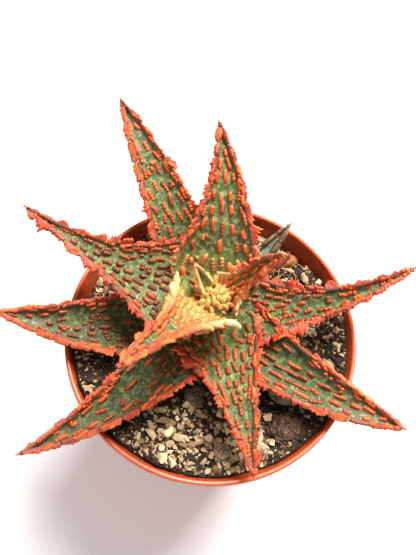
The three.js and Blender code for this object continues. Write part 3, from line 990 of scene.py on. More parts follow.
class Kit:
    """What the pieces are built with: the finishes, the small shapes and the nodes that lay them."""

    def __init__(self, effects: Effects) -> None:
        """Makes the finishes and shapes, and the Geometry Nodes tree that lays the shapes.

        Args:
            effects: The shared shader groups.
        """
        self.finishes = {key: finish.material(effects) for key, finish in FINISHES.items()}
        self.shapes = ShapeBox()
        self.tree = bpy.data.node_groups.new("lay_shapes", "GeometryNodeTree")
        face = self.tree.interface
        for key, kind in (("Geometry", "Geometry"), ("Places", "Object"), ("Shapes", "Collection"),
                          ("Finish", "Material")):
            face.new_socket(key, in_out="INPUT", socket_type="NodeSocket" + kind)
        face.new_socket("Geometry", in_out="OUTPUT", socket_type="NodeSocketGeometry")
        graph = Graph(self.tree)
        start, end = graph.add("NodeGroupInput").outputs, graph.add("NodeGroupOutput")
        points = graph.add("GeometryNodeObjectInfo", {"Object": start["Places"]})
        shapes = graph.add("GeometryNodeCollectionInfo", {"Collection": start["Shapes"],
                                                          "Separate Children": True, "Reset Children": True})
        turn, size, pick = (
            graph.add("GeometryNodeInputNamedAttribute", {"Name": name}, data_type=kind).outputs[0]
            for name, kind in (("turn", "FLOAT_VECTOR"), ("size", "FLOAT_VECTOR"), ("pick", "FLOAT")))
        laid = graph.add("GeometryNodeInstanceOnPoints", {
            "Points": points.outputs["Geometry"], "Instance": shapes.outputs[0], "Pick Instance": True,
            "Instance Index": pick, "Rotation": turn, "Scale": size})
        real = graph.add("GeometryNodeRealizeInstances", {0: laid.outputs[0]})
        dressed = graph.add("GeometryNodeSetMaterial", {"Geometry": real.outputs[0], "Material": start["Finish"]})
        both = graph.add("GeometryNodeJoinGeometry")
        for part in (dressed.outputs[0], start["Geometry"]):
            self.tree.links.new(part, both.inputs[0])
        self.tree.links.new(both.outputs[0], end.inputs[0])
        self.keys = {item.name: item.identifier for item in face.items_tree if item.in_out == "INPUT"}

    def dress(self, piece: Thing, layers: list[Layer]) -> None:
        """Lays every layer on a piece and makes the whole a plain mesh.

        Args:
            piece: The piece to dress.
            layers: What is laid on it.
        """
        spots = [layer.places() for layer in layers]
        for number, (layer, places) in enumerate(zip(layers, spots)):
            step = piece.modifiers.new(f"lay_{number}", "NODES")
            step.node_group = self.tree
            step[self.keys["Places"]] = places
            step[self.keys["Shapes"]] = self.shapes.boxes[layer.kind]
            step[self.keys["Finish"]] = self.finishes[layer.finish]
        bake(piece)
        for places in spots:
            bpy.data.objects.remove(places)


# Leaves


@dataclass(frozen=True)
class LeafShape:
    """One leaf's sizes, in millimetres and degrees, close to the CAD source's, and its look.

    Attributes:
        node: CAD node of the leaf.
        azimuth: Direction seen from above.
        reach: How far its tip lies from the plant's middle.
        root: Height of its base over the rim.
        tip: Height of its tip over the rim.
        arch: How far its middle rises.
        sweep: How far its middle bows sideways.
        width: Width at the base.
        thick: Thickness at the base.
        roll: Turn about its own length.
        taper: How the outline narrows.
        point: How pointed the outline is.
        channel: How deep its trough is.
        crest: Height of the red crest.
        inner: How far its base lies from the plant's middle.
        run: Shortest and longest ridge.
        tone: Colour of the ridges, from coral 0 to brown 1.
        pale: How pale the base is.
        spread: How far out the pale base reaches, as a share of the length.
        pitch: Spacing of the ridges along and across.
        flare: How much higher the pale part of the crest stands.
        clumps: Share of the ridges that are clumps of round beads.
        dim: How much darker its skin is: partly an older leaf's darker skin, partly painted shade on a lower leaf.
        hook: How much higher the crest of its lower margin stands at the tip.
        slot: Material slot in the record.
    """

    node: str
    azimuth: float
    reach: float
    root: float
    tip: float
    arch: float
    sweep: float
    width: float
    thick: float
    roll: float
    taper: float
    point: float
    channel: float
    crest: float
    inner: float = 3.5
    run: tuple[float, float] = (2.0, 3.0)
    tone: float = 0.6
    pale: float = 0.0
    spread: float = 0.15
    pitch: tuple[float, float] = (3.0, 1.8)
    flare: float = 0.0
    clumps: float = 0.14
    dim: float = 0.0
    hook: float = 0.0
    slot: str = "leaf"


# The per-leaf darkening in this table is partly older skin and partly painted shade on the lower leaves.
LEAVES = (
    LeafShape("leaf_heart", 140, 6, 11, 19.5, 0, 0, 2.5, 1.3, 0, 1, 0.8, 0.3, 0.35, inner=1.2, pale=0.85, spread=1.1,
              tone=0.1, pitch=(0, 0), slot="young_leaf"),
    LeafShape("leaf_front_upright", 234, 30.5, 10, 42, -0.5, 0.5, 19, 3.2, 0, 0.8, 2.2, 0.4, 1.9, run=(2.3, 3.4),
              tone=0.25, pale=1.0, spread=0.27, pitch=(2.9, 1.5), clumps=0, flare=0.9),
    LeafShape("leaf_right_upright", 7, 14.5, 7, 28, -0.5, -1.5, 8, 2.6, 0, 0.7, 1.4, 0.4, 2.1, run=(2.0, 3.0),
              tone=0.3, pale=0.9, spread=0.28, pitch=(2.9, 1.5), clumps=0, flare=0.7),
    LeafShape("leaf_back", 88, 35.5, 7, 27, 3, 2, 20, 3.6, 4, 1.3, 1.9, 0.2, 2.2, run=(2.2, 4.6), tone=0.3,
              pale=0.9, spread=0.14, pitch=(3.7, 2.1)),
    LeafShape("leaf_left_upper", 156, 46, 7.5, 17.5, -1.5, -1.5, 27, 4, 6, 1.3, 2.7, 0.2, 2.3, run=(2.1, 3.2),
              tone=0.78, pale=0.3, spread=0.06, dim=0.1, hook=2.0),
    LeafShape("leaf_front", 282, 39.5, 2, 4, 4, -0.5, 18.5, 3.8, -9, 1.5, 2.2, 0.05, 2.1, run=(2.2, 4.2), tone=0.5,
              pale=0.5, spread=0.08),
    LeafShape("leaf_right", 6, 46, 1, 16, -2.5, 3, 21.5, 3.6, -6, 1, 2, 0.2, 2.4, run=(1.8, 3.2), tone=0.52,
              dim=0.32, hook=0.8),
    LeafShape("leaf_back_left", 115, 51.5, -2, 21, 0, 1, 16.5, 3.6, -2, 1.2, 1.1, 0.25, 1.8, run=(2.4, 4.8),
              tone=0.4, pitch=(3.9, 2.1), dim=0.15),
    LeafShape("leaf_front_left", 219, 53, -1, 5, 2, -4, 18, 3.6, 6, 1.1, 1.4, 0.35, 1.6, run=(2.4, 4.6), tone=0.5,
              pitch=(3.6, 2.0), dim=0.42),
    LeafShape("leaf_front_right", 325, 51, -3, 5.5, 1.5, 2.5, 16, 3.4, -7, 1.2, 1, 0.35, 1.5, run=(2.4, 4.8),
              tone=0.55, pitch=(3.8, 2.0), dim=0.4),
    LeafShape("leaf_left_low", 184, 48, -3, 10, -1.5, -2.5, 19, 3.4, 10, 1.2, 1.1, 0.4, 1.7, run=(2.2, 4.0),
              tone=0.8, pitch=(3.4, 2.0), dim=0.48),
    LeafShape("leaf_small_old", 47, 30.5, -2, 3.5, 0.5, 0, 5, 1.8, 0, 1.3, 0.9, 0.3, 0.8, run=(1.2, 2.0), tone=0.4,
              pitch=(0, 0), slot="old_leaf"),
)

@dataclass(frozen=True)
class Plate:
    """One plate of the crest, between two notches of the margin."""

    start: float
    end: float
    rise: float
    slope: float
    lean: float


class Ridge(NamedTuple):
    """One ridge: its share of the length, place across, sizes, turn, tone, paleness and shape number."""

    s: float
    u: float
    run: float
    wide: float
    tall: float
    turn: float
    tone: float
    pale: float
    pick: float


def share(value: float) -> float:
    """Keeps a number between 0 and 1."""
    return float(np.clip(value, 0, 1))


@dataclass
class Leaf:
    """Builds one leaf: its blade, its crest plates and its ridges.

    Attributes:
        shape: The leaf's sizes and look.
        index: Its place in the rosette, innermost first.
    """

    shape: LeafShape
    index: int

    def __post_init__(self) -> None:
        """Works out the midline's three points and its length."""
        shape = self.shape
        a = math.radians(shape.azimuth)
        out, across = np.array([math.cos(a), math.sin(a), 0]), np.array([math.sin(a), -math.cos(a), 0])
        self.start = PLANT + out * shape.inner + UP * shape.root
        self.end = PLANT + out * shape.reach + UP * shape.tip
        self.bend = (self.start + self.end) / 2 + across * 2 * shape.sweep + UP * 2 * shape.arch
        line = self.midline(np.linspace(0, 1, 201))
        self.length = float(np.linalg.norm(np.diff(line, axis=0), axis=1).sum())
        self.spare = 0.55 if shape.crest > 1 else 0.0
        self.old = float(shape.slot == "old_leaf")

    def midline(self, s: Array) -> Array:
        """Point of the midline at each share of the length."""
        s = np.asarray(s, float)[..., None]
        return (1 - s) ** 2 * self.start + 2 * s * (1 - s) * self.bend + s**2 * self.end

    def axes(self, s: Array) -> tuple[Array, Array, Array]:
        """Directions along, sideways and up from the blade at each share of the length."""
        s = np.asarray(s, float)[..., None]
        along = 2 * (1 - s) * (self.bend - self.start) + 2 * s * (self.end - self.bend)
        along = along / np.linalg.norm(along, axis=-1, keepdims=True)
        across = np.cross(along, UP)
        across = across / np.linalg.norm(across, axis=-1, keepdims=True)
        up = np.cross(across, along)
        r = math.radians(self.shape.roll)
        return along, across * math.cos(r) + up * math.sin(r), up * math.cos(r) - across * math.sin(r)

    def half_width(self, s: Array) -> Array:
        """Half the blade's width at each share of the length."""
        outline = np.clip(1 - s**self.shape.taper, 0, None) ** self.shape.point
        full = self.shape.width / 2 * np.minimum(1, 0.8 + 2.2 * s) * outline + 0.7 * (1 - s**6)
        return full + self.spare * smooth(0.4, 0.7, s) * (1 - s**9)

    def thickness(self, s: Array) -> Array:
        """Blade thickness at each share of the length."""
        full = self.shape.thick * np.clip(1 - s, 0, None) ** 0.6 + 0.7
        return full * np.clip((1 - s) / 0.05, 0.05, 1) ** 0.6

    def face_point(self, s: Array, u: Array, lift: Array | float = 0.0) -> Array:
        """Point of the upper face, u across from -1 to 1."""
        _, side, face = self.axes(s)
        half = self.half_width(s)
        height = self.shape.channel * half * u * u + lift
        return self.midline(s) + side * (u * half)[..., None] + face * np.asarray(height)[..., None]

    def back_point(self, s: Array, u: Array, lift: Array | float = 0.0) -> Array:
        """Point of the underside, u across from -1 to 1."""
        depth = self.thickness(s) * np.clip(1 - u * u, 0, None) ** 0.7
        return self.face_point(s, u, -depth - lift)

    def pale_at(self, s: Array) -> Array:
        """How pale the young base is at each share of the length."""
        return self.shape.pale * np.exp(-((np.asarray(s) / self.shape.spread) ** 2))

    def blade(self, ridges: Array) -> Shell:
        """The fleshy blade.

        Args:
            ridges: Share of the length, place across and length of each ridge on the face.

        Returns:
            The closed shell with the values that its finish reads.
        """
        rows, top, under = 130, 31, 15
        s = (np.linspace(0, 1, rows) ** 0.92 * 0.992)[:, None]
        u_top = np.sin(np.linspace(-np.pi / 2, np.pi / 2, top))[None, :]
        u_back = np.sin(np.linspace(np.pi / 2, -np.pi / 2, under + 2))[1:-1][None, :]
        s_top, u_top = np.broadcast_arrays(s, u_top)
        s_back, u_back = np.broadcast_arrays(s, u_back)
        x, y = s_top * self.length, u_top * self.half_width(s_top)
        halo = np.zeros_like(x)
        for at, across, run in ridges:
            gap_x = np.maximum(0, np.abs(x - at * self.length) - run / 2 + 0.3)
            gap_y = np.abs(y - across * self.half_width(np.array(at)))
            halo = np.maximum(halo, np.exp(-(gap_x**2 + gap_y**2) / 0.8))
        seed = Seed.BLADES + self.index
        relief = 0.16 * lumps(x * 0.42, y * 0.42 + 9, seed) + 0.07 * lumps(x * 1.1, y * 1.3 + 9, seed + 1)
        calm = (1 - u_top**2) ** 0.5
        lift = (relief + 0.1 * halo) * calm
        under_lift = 0.12 * lumps(s_back * self.length * 0.5, u_back * self.half_width(s_back) * 0.5 + 9, seed + 2)
        under_lift = under_lift * (1 - u_back**2) ** 0.5
        rings = np.concatenate([self.face_point(s_top, u_top, lift), self.back_point(s_back, u_back, under_lift)], 1)
        along = np.concatenate([s_top, s_back], 1)
        across = np.abs(np.concatenate([u_top, u_back], 1))
        width = self.half_width(along)
        lay = np.stack([along * self.length, np.concatenate([u_top, 2 - u_back], 1) * width,
                        np.full(along.shape, self.index * 7.0)], -1)
        below = np.concatenate([np.zeros_like(s_top), np.ones_like(s_back)], 1)
        # The per-leaf darkening kept here is partly older skin and partly painted shade.
        values = {"along": along, "across": across, "under": below, "lay": lay, "pale": self.pale_at(along),
                  "halo": np.concatenate([halo, np.zeros_like(s_back)], 1),
                  "old": np.full(along.shape, self.old), "dry": smooth(0.6, 0.95, along) * self.old,
                  "dim": np.full(along.shape, self.shape.dim)}
        return closed_tube(rings, values)

    def spine(self) -> Shell:
        """The fine orange spine that the leaf ends in."""
        along, _, face = (axis[0] for axis in self.axes(np.array([CREST_END])))
        side = np.cross(face, along)
        size = 0.5 + 0.5 * min(1, self.length / 45)
        t = np.linspace(0, 1, 9)
        middle = self.midline(np.array([0.965]))[0] + np.outer(t * 2.1 * size, along) + np.outer(t * t * 0.5, face)
        radius = 0.5 * size * (1 - t) ** 0.8 + 0.05
        angles = np.linspace(0, 2 * np.pi, 10, endpoint=False)
        rings = (middle[:, None] + side * (np.cos(angles)[None, :] * radius[:, None])[..., None]
                 + face * ((np.sin(angles)[None, :] - 0.6) * radius[:, None])[..., None])
        full = np.ones(rings.shape[:2])
        return closed_tube(rings, {"along": full, "across": full * 0.5, "lay": rings * 1.0})

    def plates(self, side: int) -> list[Plate]:
        """The crest plates of one margin, thrown by the same dice as the CAD source."""
        dice = Dice(self.index * 10 + (3 - side) // 2)
        plates, x = [], min(3.0, self.length * 0.12)
        while x < self.length * 0.97:
            run = min(dice.between(2.8, 5.2), self.length - x)
            rise, slope = dice.between(0.72, 1.22), dice.between(-0.25, 0.25)
            lean = dice.between(*CREST_LEAN)
            plates.append(Plate(x / self.length, (x + run) / self.length, rise, slope, lean))
            x += run
        return plates

    def ribbon(self, side: int, s: Array, rise: Array, lean: Array, seed: int, tone: float, bulk: float) -> Shell:
        """A strip of crest along one margin.

        Args:
            side: Which margin, 1 or -1.
            s: Shares of the length that the strip runs over.
            rise: Height of the strip at each, against the leaf's crest.
            lean: Lean from the blade at each, in degrees.
            seed: Chooses its ripples.
            tone: How dark it is, from 0 to 1.
            bulk: How thick a plate is, or 0 for the plain margin below the plates.

        Returns:
            The closed shell with the values that its finish reads.
        """
        out = np.array([-0.5, 0.0, 0.3, 0.6, 0.85, 1.0])
        v = np.concatenate([out, out[::-1]])[None, :]
        flank = np.concatenate([np.ones(6), -np.ones(6)])[None, :]
        x = (s * self.length)[:, None]
        base = self.shape.crest * np.clip(1 - 0.96 * s, 0.01, None) ** 0.35 * (1 - 0.75 * smooth(0.93, 0.99, s))
        height = np.maximum(0.12, base * rise)[:, None]
        wave = 15 * np.sin(x * 1.2 + seed) * np.clip(v, 0, 1)
        tilt = math.atan(1.4 * self.shape.channel) + np.radians(lean[:, None] + wave)
        rib = 0.13 * lumps(x * 1.5, v * 1.2 + seed, seed) * smooth(0.1, 0.6, v)
        far = smooth(0.35, 0.8, s)[:, None]
        toothed = bulk > 0
        bulk = bulk if toothed else 0.6
        half = np.interp(v, out, [0.42, 0.42, 0.42, 0.42, 0.36, 0.15]) * (1 + 0.25 * far) * bulk + rib
        distance = np.where(v < 0, v * 1.2, v * height)
        outward_by = distance * np.cos(tilt) - flank * half * np.sin(tilt)
        lift = distance * np.sin(tilt) + flank * half * np.cos(tilt)
        _, sideways, face = self.axes(s)
        edge = self.face_point(s, np.full(s.shape, float(side)))
        rings = (edge[:, None, :] + sideways[:, None, :] * (side * outward_by)[..., None]
                 + face[:, None, :] * lift[..., None])
        full = np.ones_like(half)
        lay = np.stack([x * full, distance * full, full * (seed % 17)], -1)
        reach = np.clip(v, 0, 1) * (1.0 if toothed else 0.0)
        values = {"along": s[:, None] * full, "edge": reach * full, "tone": tone * full, "lay": lay,
                  "pale": self.pale_at(s)[:, None] * full, "old": self.old * full, "across": 0.9 * full}
        shell = closed_tube(rings if side < 0 else rings[:, ::-1], {
            key: value if side < 0 else value[:, ::-1] for key, value in values.items()})
        shell.slots = [1 if toothed else 0] * len(shell.faces)
        return shell

    def crest(self) -> list[Shell]:
        """The crest: a low lip all along each margin, with a toothed plate between each two notches."""
        shells = []
        for side in (1, -1):
            steady = np.random.default_rng(Seed.CRESTS + self.index * 2 + (side > 0))
            s = np.linspace(0.02, CREST_END, max(24, int(self.length * 2.2)))
            low = 0.15 + 0.06 * lumps(s * self.length * 1.3, s * 0, Seed.LIP + self.index)
            shells.append(self.ribbon(side, s, low, np.zeros_like(s), self.index * 3 + side + 2, 0.6, 0))
            for number, plate in enumerate(self.plates(side)):
                shells.append(self.plate(side, plate, number, steady))
        return shells

    def plate(self, side: int, plate: Plate, number: int, steady: np.random.Generator) -> Shell:
        """One toothed plate of the crest.

        Args:
            side: Which margin, 1 or -1.
            plate: Its place and size.
            number: Its number along the margin.
            steady: Random numbers of this margin.

        Returns:
            The closed shell.
        """
        end = min(plate.end, CREST_END)
        run = (end - plate.start) * self.length
        t = np.linspace(0.03, 0.97, max(10, int(run / 0.17)))
        s = plate.start + (end - plate.start) * t
        rim = np.minimum(t - 0.03, 0.97 - t)
        block = smooth(-0.02, 0.13, rim)
        lens = np.sin(np.pi * (t - 0.03) / 0.94) ** 0.5
        far = smooth(0.35, 0.75, s)
        shape = 0.04 + 0.96 * (block * (1 - far) + lens * far)
        pitch = steady.uniform(0.7, 1.4)
        drift = 0.35 * lumps(t * run * 0.9, t * 0 + number, Seed.TEETH + self.index)
        phase = t * run / pitch + drift + steady.uniform(0, 1)
        size = steady.uniform(0.1, 1.0, 64)[np.floor(phase).astype(int) % 64]
        tooth = (1 - np.abs(2 * (phase % 1) - 1)) ** 1.3 * size
        depth = steady.choice([0.55, 0.42, 0.25])
        hook = self.shape.hook if side < 0 else 0.0
        rise = shape * (plate.rise + plate.slope * (2 * t - 1)) * (1 - depth + depth * 1.6 * tooth)
        rise = rise * (1 + self.shape.flare * self.pale_at(s)) * (1 + hook * smooth(0.8, 0.88, s))
        rise = rise * (1 + 0.3 * lumps(s * self.length * 0.8, s * 0 + side + 2, Seed.PLATES + self.index))
        bulk = steady.uniform(0.8, 1.2)
        if steady.uniform() < 0.2 + 0.3 * float(far.mean()):
            rise, bulk = rise * 0.62, bulk * 1.35
        lean = plate.lean * (0.4 + 0.6 * block)
        tone = share(steady.normal(0.4, 0.26) + 0.2 * (self.shape.tone - 0.5))
        return self.ribbon(side, s, rise, lean, self.index * 31 + number * 5 + side + 2, tone, bulk)

    def ridges(self) -> tuple[Array, Array]:
        """The ridges on the face and on the back, as rows of a Ridge's numbers."""
        dice = np.random.default_rng(Seed.RIDGES + self.index)
        step, gap = self.shape.pitch
        if step == 0:
            return np.zeros((0, 9)), np.zeros((0, 9))
        face = self.rows_of(dice, step, gap, 0.86) + self.margin_row(dice) + self.edge_row(dice)
        back = self.rows_of(dice, step * 1.6, gap * 1.7, 0.7) + self.bead_row(dice)
        return np.array(face), np.array(back)

    def rows_of(self, dice: np.random.Generator, step: float, gap: float, use: float) -> list[Ridge]:
        """Ridges in loose rows across the blade.

        Args:
            dice: Random numbers of this leaf.
            step: Spacing along the leaf.
            gap: Spacing across it.
            use: Share of the width that the rows cover.

        Returns:
            The ridges.
        """
        spots = []
        x = 0.6 + step * 0.4
        while x < self.length * 0.95:
            half = float(self.half_width(np.array(x / self.length)))
            across = max(1, round(2 * half * use / gap))
            shift = dice.uniform(-0.3, 0.3)
            for i in range(across):
                if dice.uniform() < 0.1:
                    continue
                u = (((i + 0.5 + shift * 0.6) / across) * 2 - 1) * use + dice.uniform(-0.14, 0.14) / across
                s = (x + dice.uniform(-0.3, 0.3) * step) / self.length
                if abs(u) < 0.94 and 0.02 < s < 0.96:
                    clump = dice.uniform() < self.shape.clumps
                    spots += self.clump(dice, s, u) if clump else [self.ridge(dice, s, u)]
            x += step * (1 - 0.12 * float(self.pale_at(np.array(x / self.length))))
        return spots

    def clump(self, dice: np.random.Generator, s: float, u: float) -> list[Ridge]:
        """A few round beads close together in place of one ridge."""
        spots = []
        half = max(1.0, float(self.half_width(np.array(s))))
        for _ in range(dice.integers(2, 5)):
            here, across = s + dice.uniform(-1.1, 1.1) / self.length, u + dice.uniform(-0.9, 0.9) / half
            spots.append(self.ridge(dice, here, across)._replace(
                run=dice.uniform(0.9, 1.5), wide=dice.uniform(0.95, 1.25), pick=0.0))
        return spots

    def ridge(self, dice: np.random.Generator, s: float, u: float) -> Ridge:
        """One ridge at a share of the length and a place across."""
        near = 1 - s
        run = dice.uniform(*self.shape.run) * (0.72 + 0.36 * near)
        wide = dice.uniform(1.2, 1.5) * (0.8 + 0.2 * near)
        tall = dice.uniform(0.72, 0.95) * (0.85 + 0.15 * near)
        tone = self.shape.tone - 0.4 * float(smooth(0.45, 0.95, np.array(s))) + dice.normal(0, 0.12)
        pale = float(self.pale_at(s * 0.92)) * dice.uniform(0.4, 1)
        run, wide = run * (1 - 0.12 * pale), wide * (1 - 0.04 * pale)
        beads = 4 if run > 2.8 else 3 if run > 2.2 else 2
        plain = dice.uniform() < (0.6 if self.shape.tone < 0.4 else 0.25)
        pick = dice.integers(0, 2) if plain or pale > 0.5 else min(6, (beads - 1) * 2 + dice.integers(0, 2))
        return Ridge(s, u, run, wide, tall, dice.normal(0, 6), share(tone), pale, float(pick))

    def margins(self, dice: np.random.Generator, ends: tuple[float, float], runs: tuple[float, float],
                chance: float, gaps: tuple[float, float]) -> Iterator[tuple[int, float, float]]:
        """Walks along both margins.

        Args:
            dice: Random numbers of this leaf.
            ends: Shares of the length where the walk starts and ends.
            runs: Shortest and longest ridge.
            chance: Share of the ridges that stand.
            gaps: Smallest and largest gap between ridges.

        Yields:
            The side, the middle as a share of the length and the run of each ridge that stands.
        """
        for side in (-1, 1):
            x = self.length * ends[0]
            while x < self.length * ends[1]:
                run = dice.uniform(*runs)
                if dice.uniform() < chance:
                    yield side, (x + run / 2) / self.length, run
                x += run + dice.uniform(*gaps)

    def margin_row(self, dice: np.random.Generator) -> list[Ridge]:
        """Long coral ridges that stand just inside each margin."""
        return [self.ridge(dice, s, side * (0.87 + 0.02 * dice.normal()))._replace(
            run=run, wide=dice.uniform(1.1, 1.45), tall=0.9, tone=share(dice.normal(0.28, 0.15)))
            for side, s, run in self.margins(dice, (0.1, 0.93), (2.0, 3.6), 0.72, (0.3, 1.4))]

    def edge_row(self, dice: np.random.Generator) -> list[Ridge]:
        """Short thick lumps that double the crest on its inner side."""
        return [self.ridge(dice, s, side * dice.uniform(0.96, 1.06))._replace(
            run=run, wide=dice.uniform(0.8, 1.3), tall=dice.uniform(0.7, 1.2), turn=dice.normal(0, 14),
            tone=share(dice.normal(0.2, 0.16)))
            for side, s, run in self.margins(dice, (0.03, 0.9), (0.9, 2.6), 0.6, (0.1, 1.3))]

    def bead_row(self, dice: np.random.Generator) -> list[Ridge]:
        """Small beaded ridges just below each margin."""
        spots = []
        for side in (-1, 1):
            x = self.length * 0.08
            while x < self.length * 0.95:
                spots.append(self.ridge(dice, x / self.length, side * dice.uniform(0.84, 0.93))._replace(
                    run=dice.uniform(1.0, 2.0), wide=dice.uniform(0.7, 0.95), tall=0.45))
                x += dice.uniform(1.7, 2.9)
        return spots

    def ridge_places(self, rows: Array, back: bool) -> tuple[Array, list[Matrix]]:
        """Where the ridges of one surface stand and how they are turned.

        Args:
            rows: Ridges, as rows of their numbers.
            back: Whether they stand on the underside.

        Returns:
            Their places and turns.
        """
        surface = self.back_point if back else self.face_point
        s, u = rows[:, 0], rows[:, 1]
        here = surface(s, u)
        along = surface(s + 0.004, u) - surface(s - 0.004, u)
        across = surface(s, u + 0.02) - surface(s, u - 0.02)
        up = np.cross(along, across)
        face = self.axes(s)[2] * (-1 if back else 1)
        up *= np.sign((up * face).sum(1))[:, None]
        turns = []
        for forward, rise, angle in zip(along, up, rows[:, 5]):
            z = Vector(rise).normalized()
            x = Matrix.Rotation(math.radians(angle), 3, z) @ Vector(forward).normalized()
            turns.append(Matrix((x, z.cross(x), z)).transposed())
        return here, turns

    def build(self, kit: Kit) -> None:
        """Builds and dresses the leaf.

        Args:
            kit: The finishes and the small shapes.
        """
        face, back = self.ridges()
        shell = joined([self.blade(face[:, :3]), *self.crest(), self.spine()])
        piece = add_piece("aloe_" + self.shape.node, shell, [kit.finishes["leaf"], kit.finishes["crest"]])
        layers = []
        for rows, under in ((face, False), (back, True)):
            if len(rows):
                values = {"tone": rows[:, 6], "pale": rows[:, 7]}
                layers.append(Layer(ShapeKind.RIDGE, "ridge", *self.ridge_places(rows, under), rows[:, 2:5],
                                    rows[:, 8], values))
        if layers:
            kit.dress(piece, layers)
        settle(piece, self.shape.node, self.shape.slot)


def turned(radii: Array, levels: Array, sides: int) -> Array:
    """Rings of points round the upright axis.

    Args:
        radii: Radius of each ring, or of each of its points.
        levels: Height of each ring.
        sides: Points round each ring.

    Returns:
        Points as rows, points round each ring, and three coordinates.
    """
    angles = np.linspace(0, 2 * np.pi, sides, endpoint=False)[None, :]
    x, y = radii * np.cos(angles), radii * np.sin(angles)
    return np.stack([x, y, levels + 0 * x], -1)


@dataclass
class Crown:
    """The short stem and the knobbly growing heart between the leaf bases.

    Attributes:
        radius: Radius of the stem.
        knobs: How many pale knobs stand on the heart.
        golden: Turn from one knob to the next, in radians.
    """

    radius: float = 3.1
    knobs: int = 34
    golden: float = 2.39996

    def stem(self) -> Shell:
        """The stem, which widens to the heart."""
        r = self.radius
        profile = np.array([(0.1, -24), (r * 0.7, -23), (r, -18), (r, 4), (r + 1.2, 8), (r + 0.8, 10),
                            (r * 0.6, 11.4), (0.1, 11.8)])
        knots = np.linspace(0, len(profile) - 1, 46)
        radii, levels = (np.interp(knots, range(len(profile)), column)[:, None] for column in profile.T)
        angles = np.linspace(0, 2 * np.pi, 40, endpoint=False)[None, :]
        rings = PLANT + turned(radii * (1 + 0.05 * np.sin(angles * 5 + levels * 0.6)), levels, 40)
        return closed_tube(rings, {"pale": smooth(-4, 5, levels + 0 * angles), "lay": rings - PLANT})

    def build(self, kit: Kit) -> None:
        """Builds the stem with its heart.

        Args:
            kit: The finishes and the small shapes.
        """
        piece = add_piece("aloe_crown", self.stem(), [kit.finishes["leaf"]])
        dice = np.random.default_rng(Seed.CROWN)
        spots, turns, sizes, picks = [], [], [], []
        for i in range(self.knobs):
            a, far = i * self.golden, 0.4 + 4.4 * math.sqrt(i / self.knobs)
            out = np.array([math.cos(a), math.sin(a), 0])
            spots.append(PLANT + out * far + UP * (11.9 - 0.14 * far * far))
            lean = Vector((math.cos(a) * 0.5 * far / 3, math.sin(a) * 0.5 * far / 3, 1)).normalized()
            x = Vector((-math.sin(a), math.cos(a), 0)).cross(lean).normalized()
            turns.append(Matrix((x, lean.cross(x), lean)).transposed())
            sizes.append((dice.uniform(1.6, 2.6), dice.uniform(0.95, 1.3), dice.uniform(0.9, 1.7)))
            picks.append(dice.integers(0, 2))
        values = {"tone": np.full(self.knobs, 0.15), "pale": dice.uniform(0.75, 1, self.knobs)}
        kit.dress(piece, [Layer(ShapeKind.RIDGE, "ridge", np.array(spots), turns, np.array(sizes),
                                np.array(picks), values)])
        settle(piece, "stem", "young_leaf")


# Pot and filling


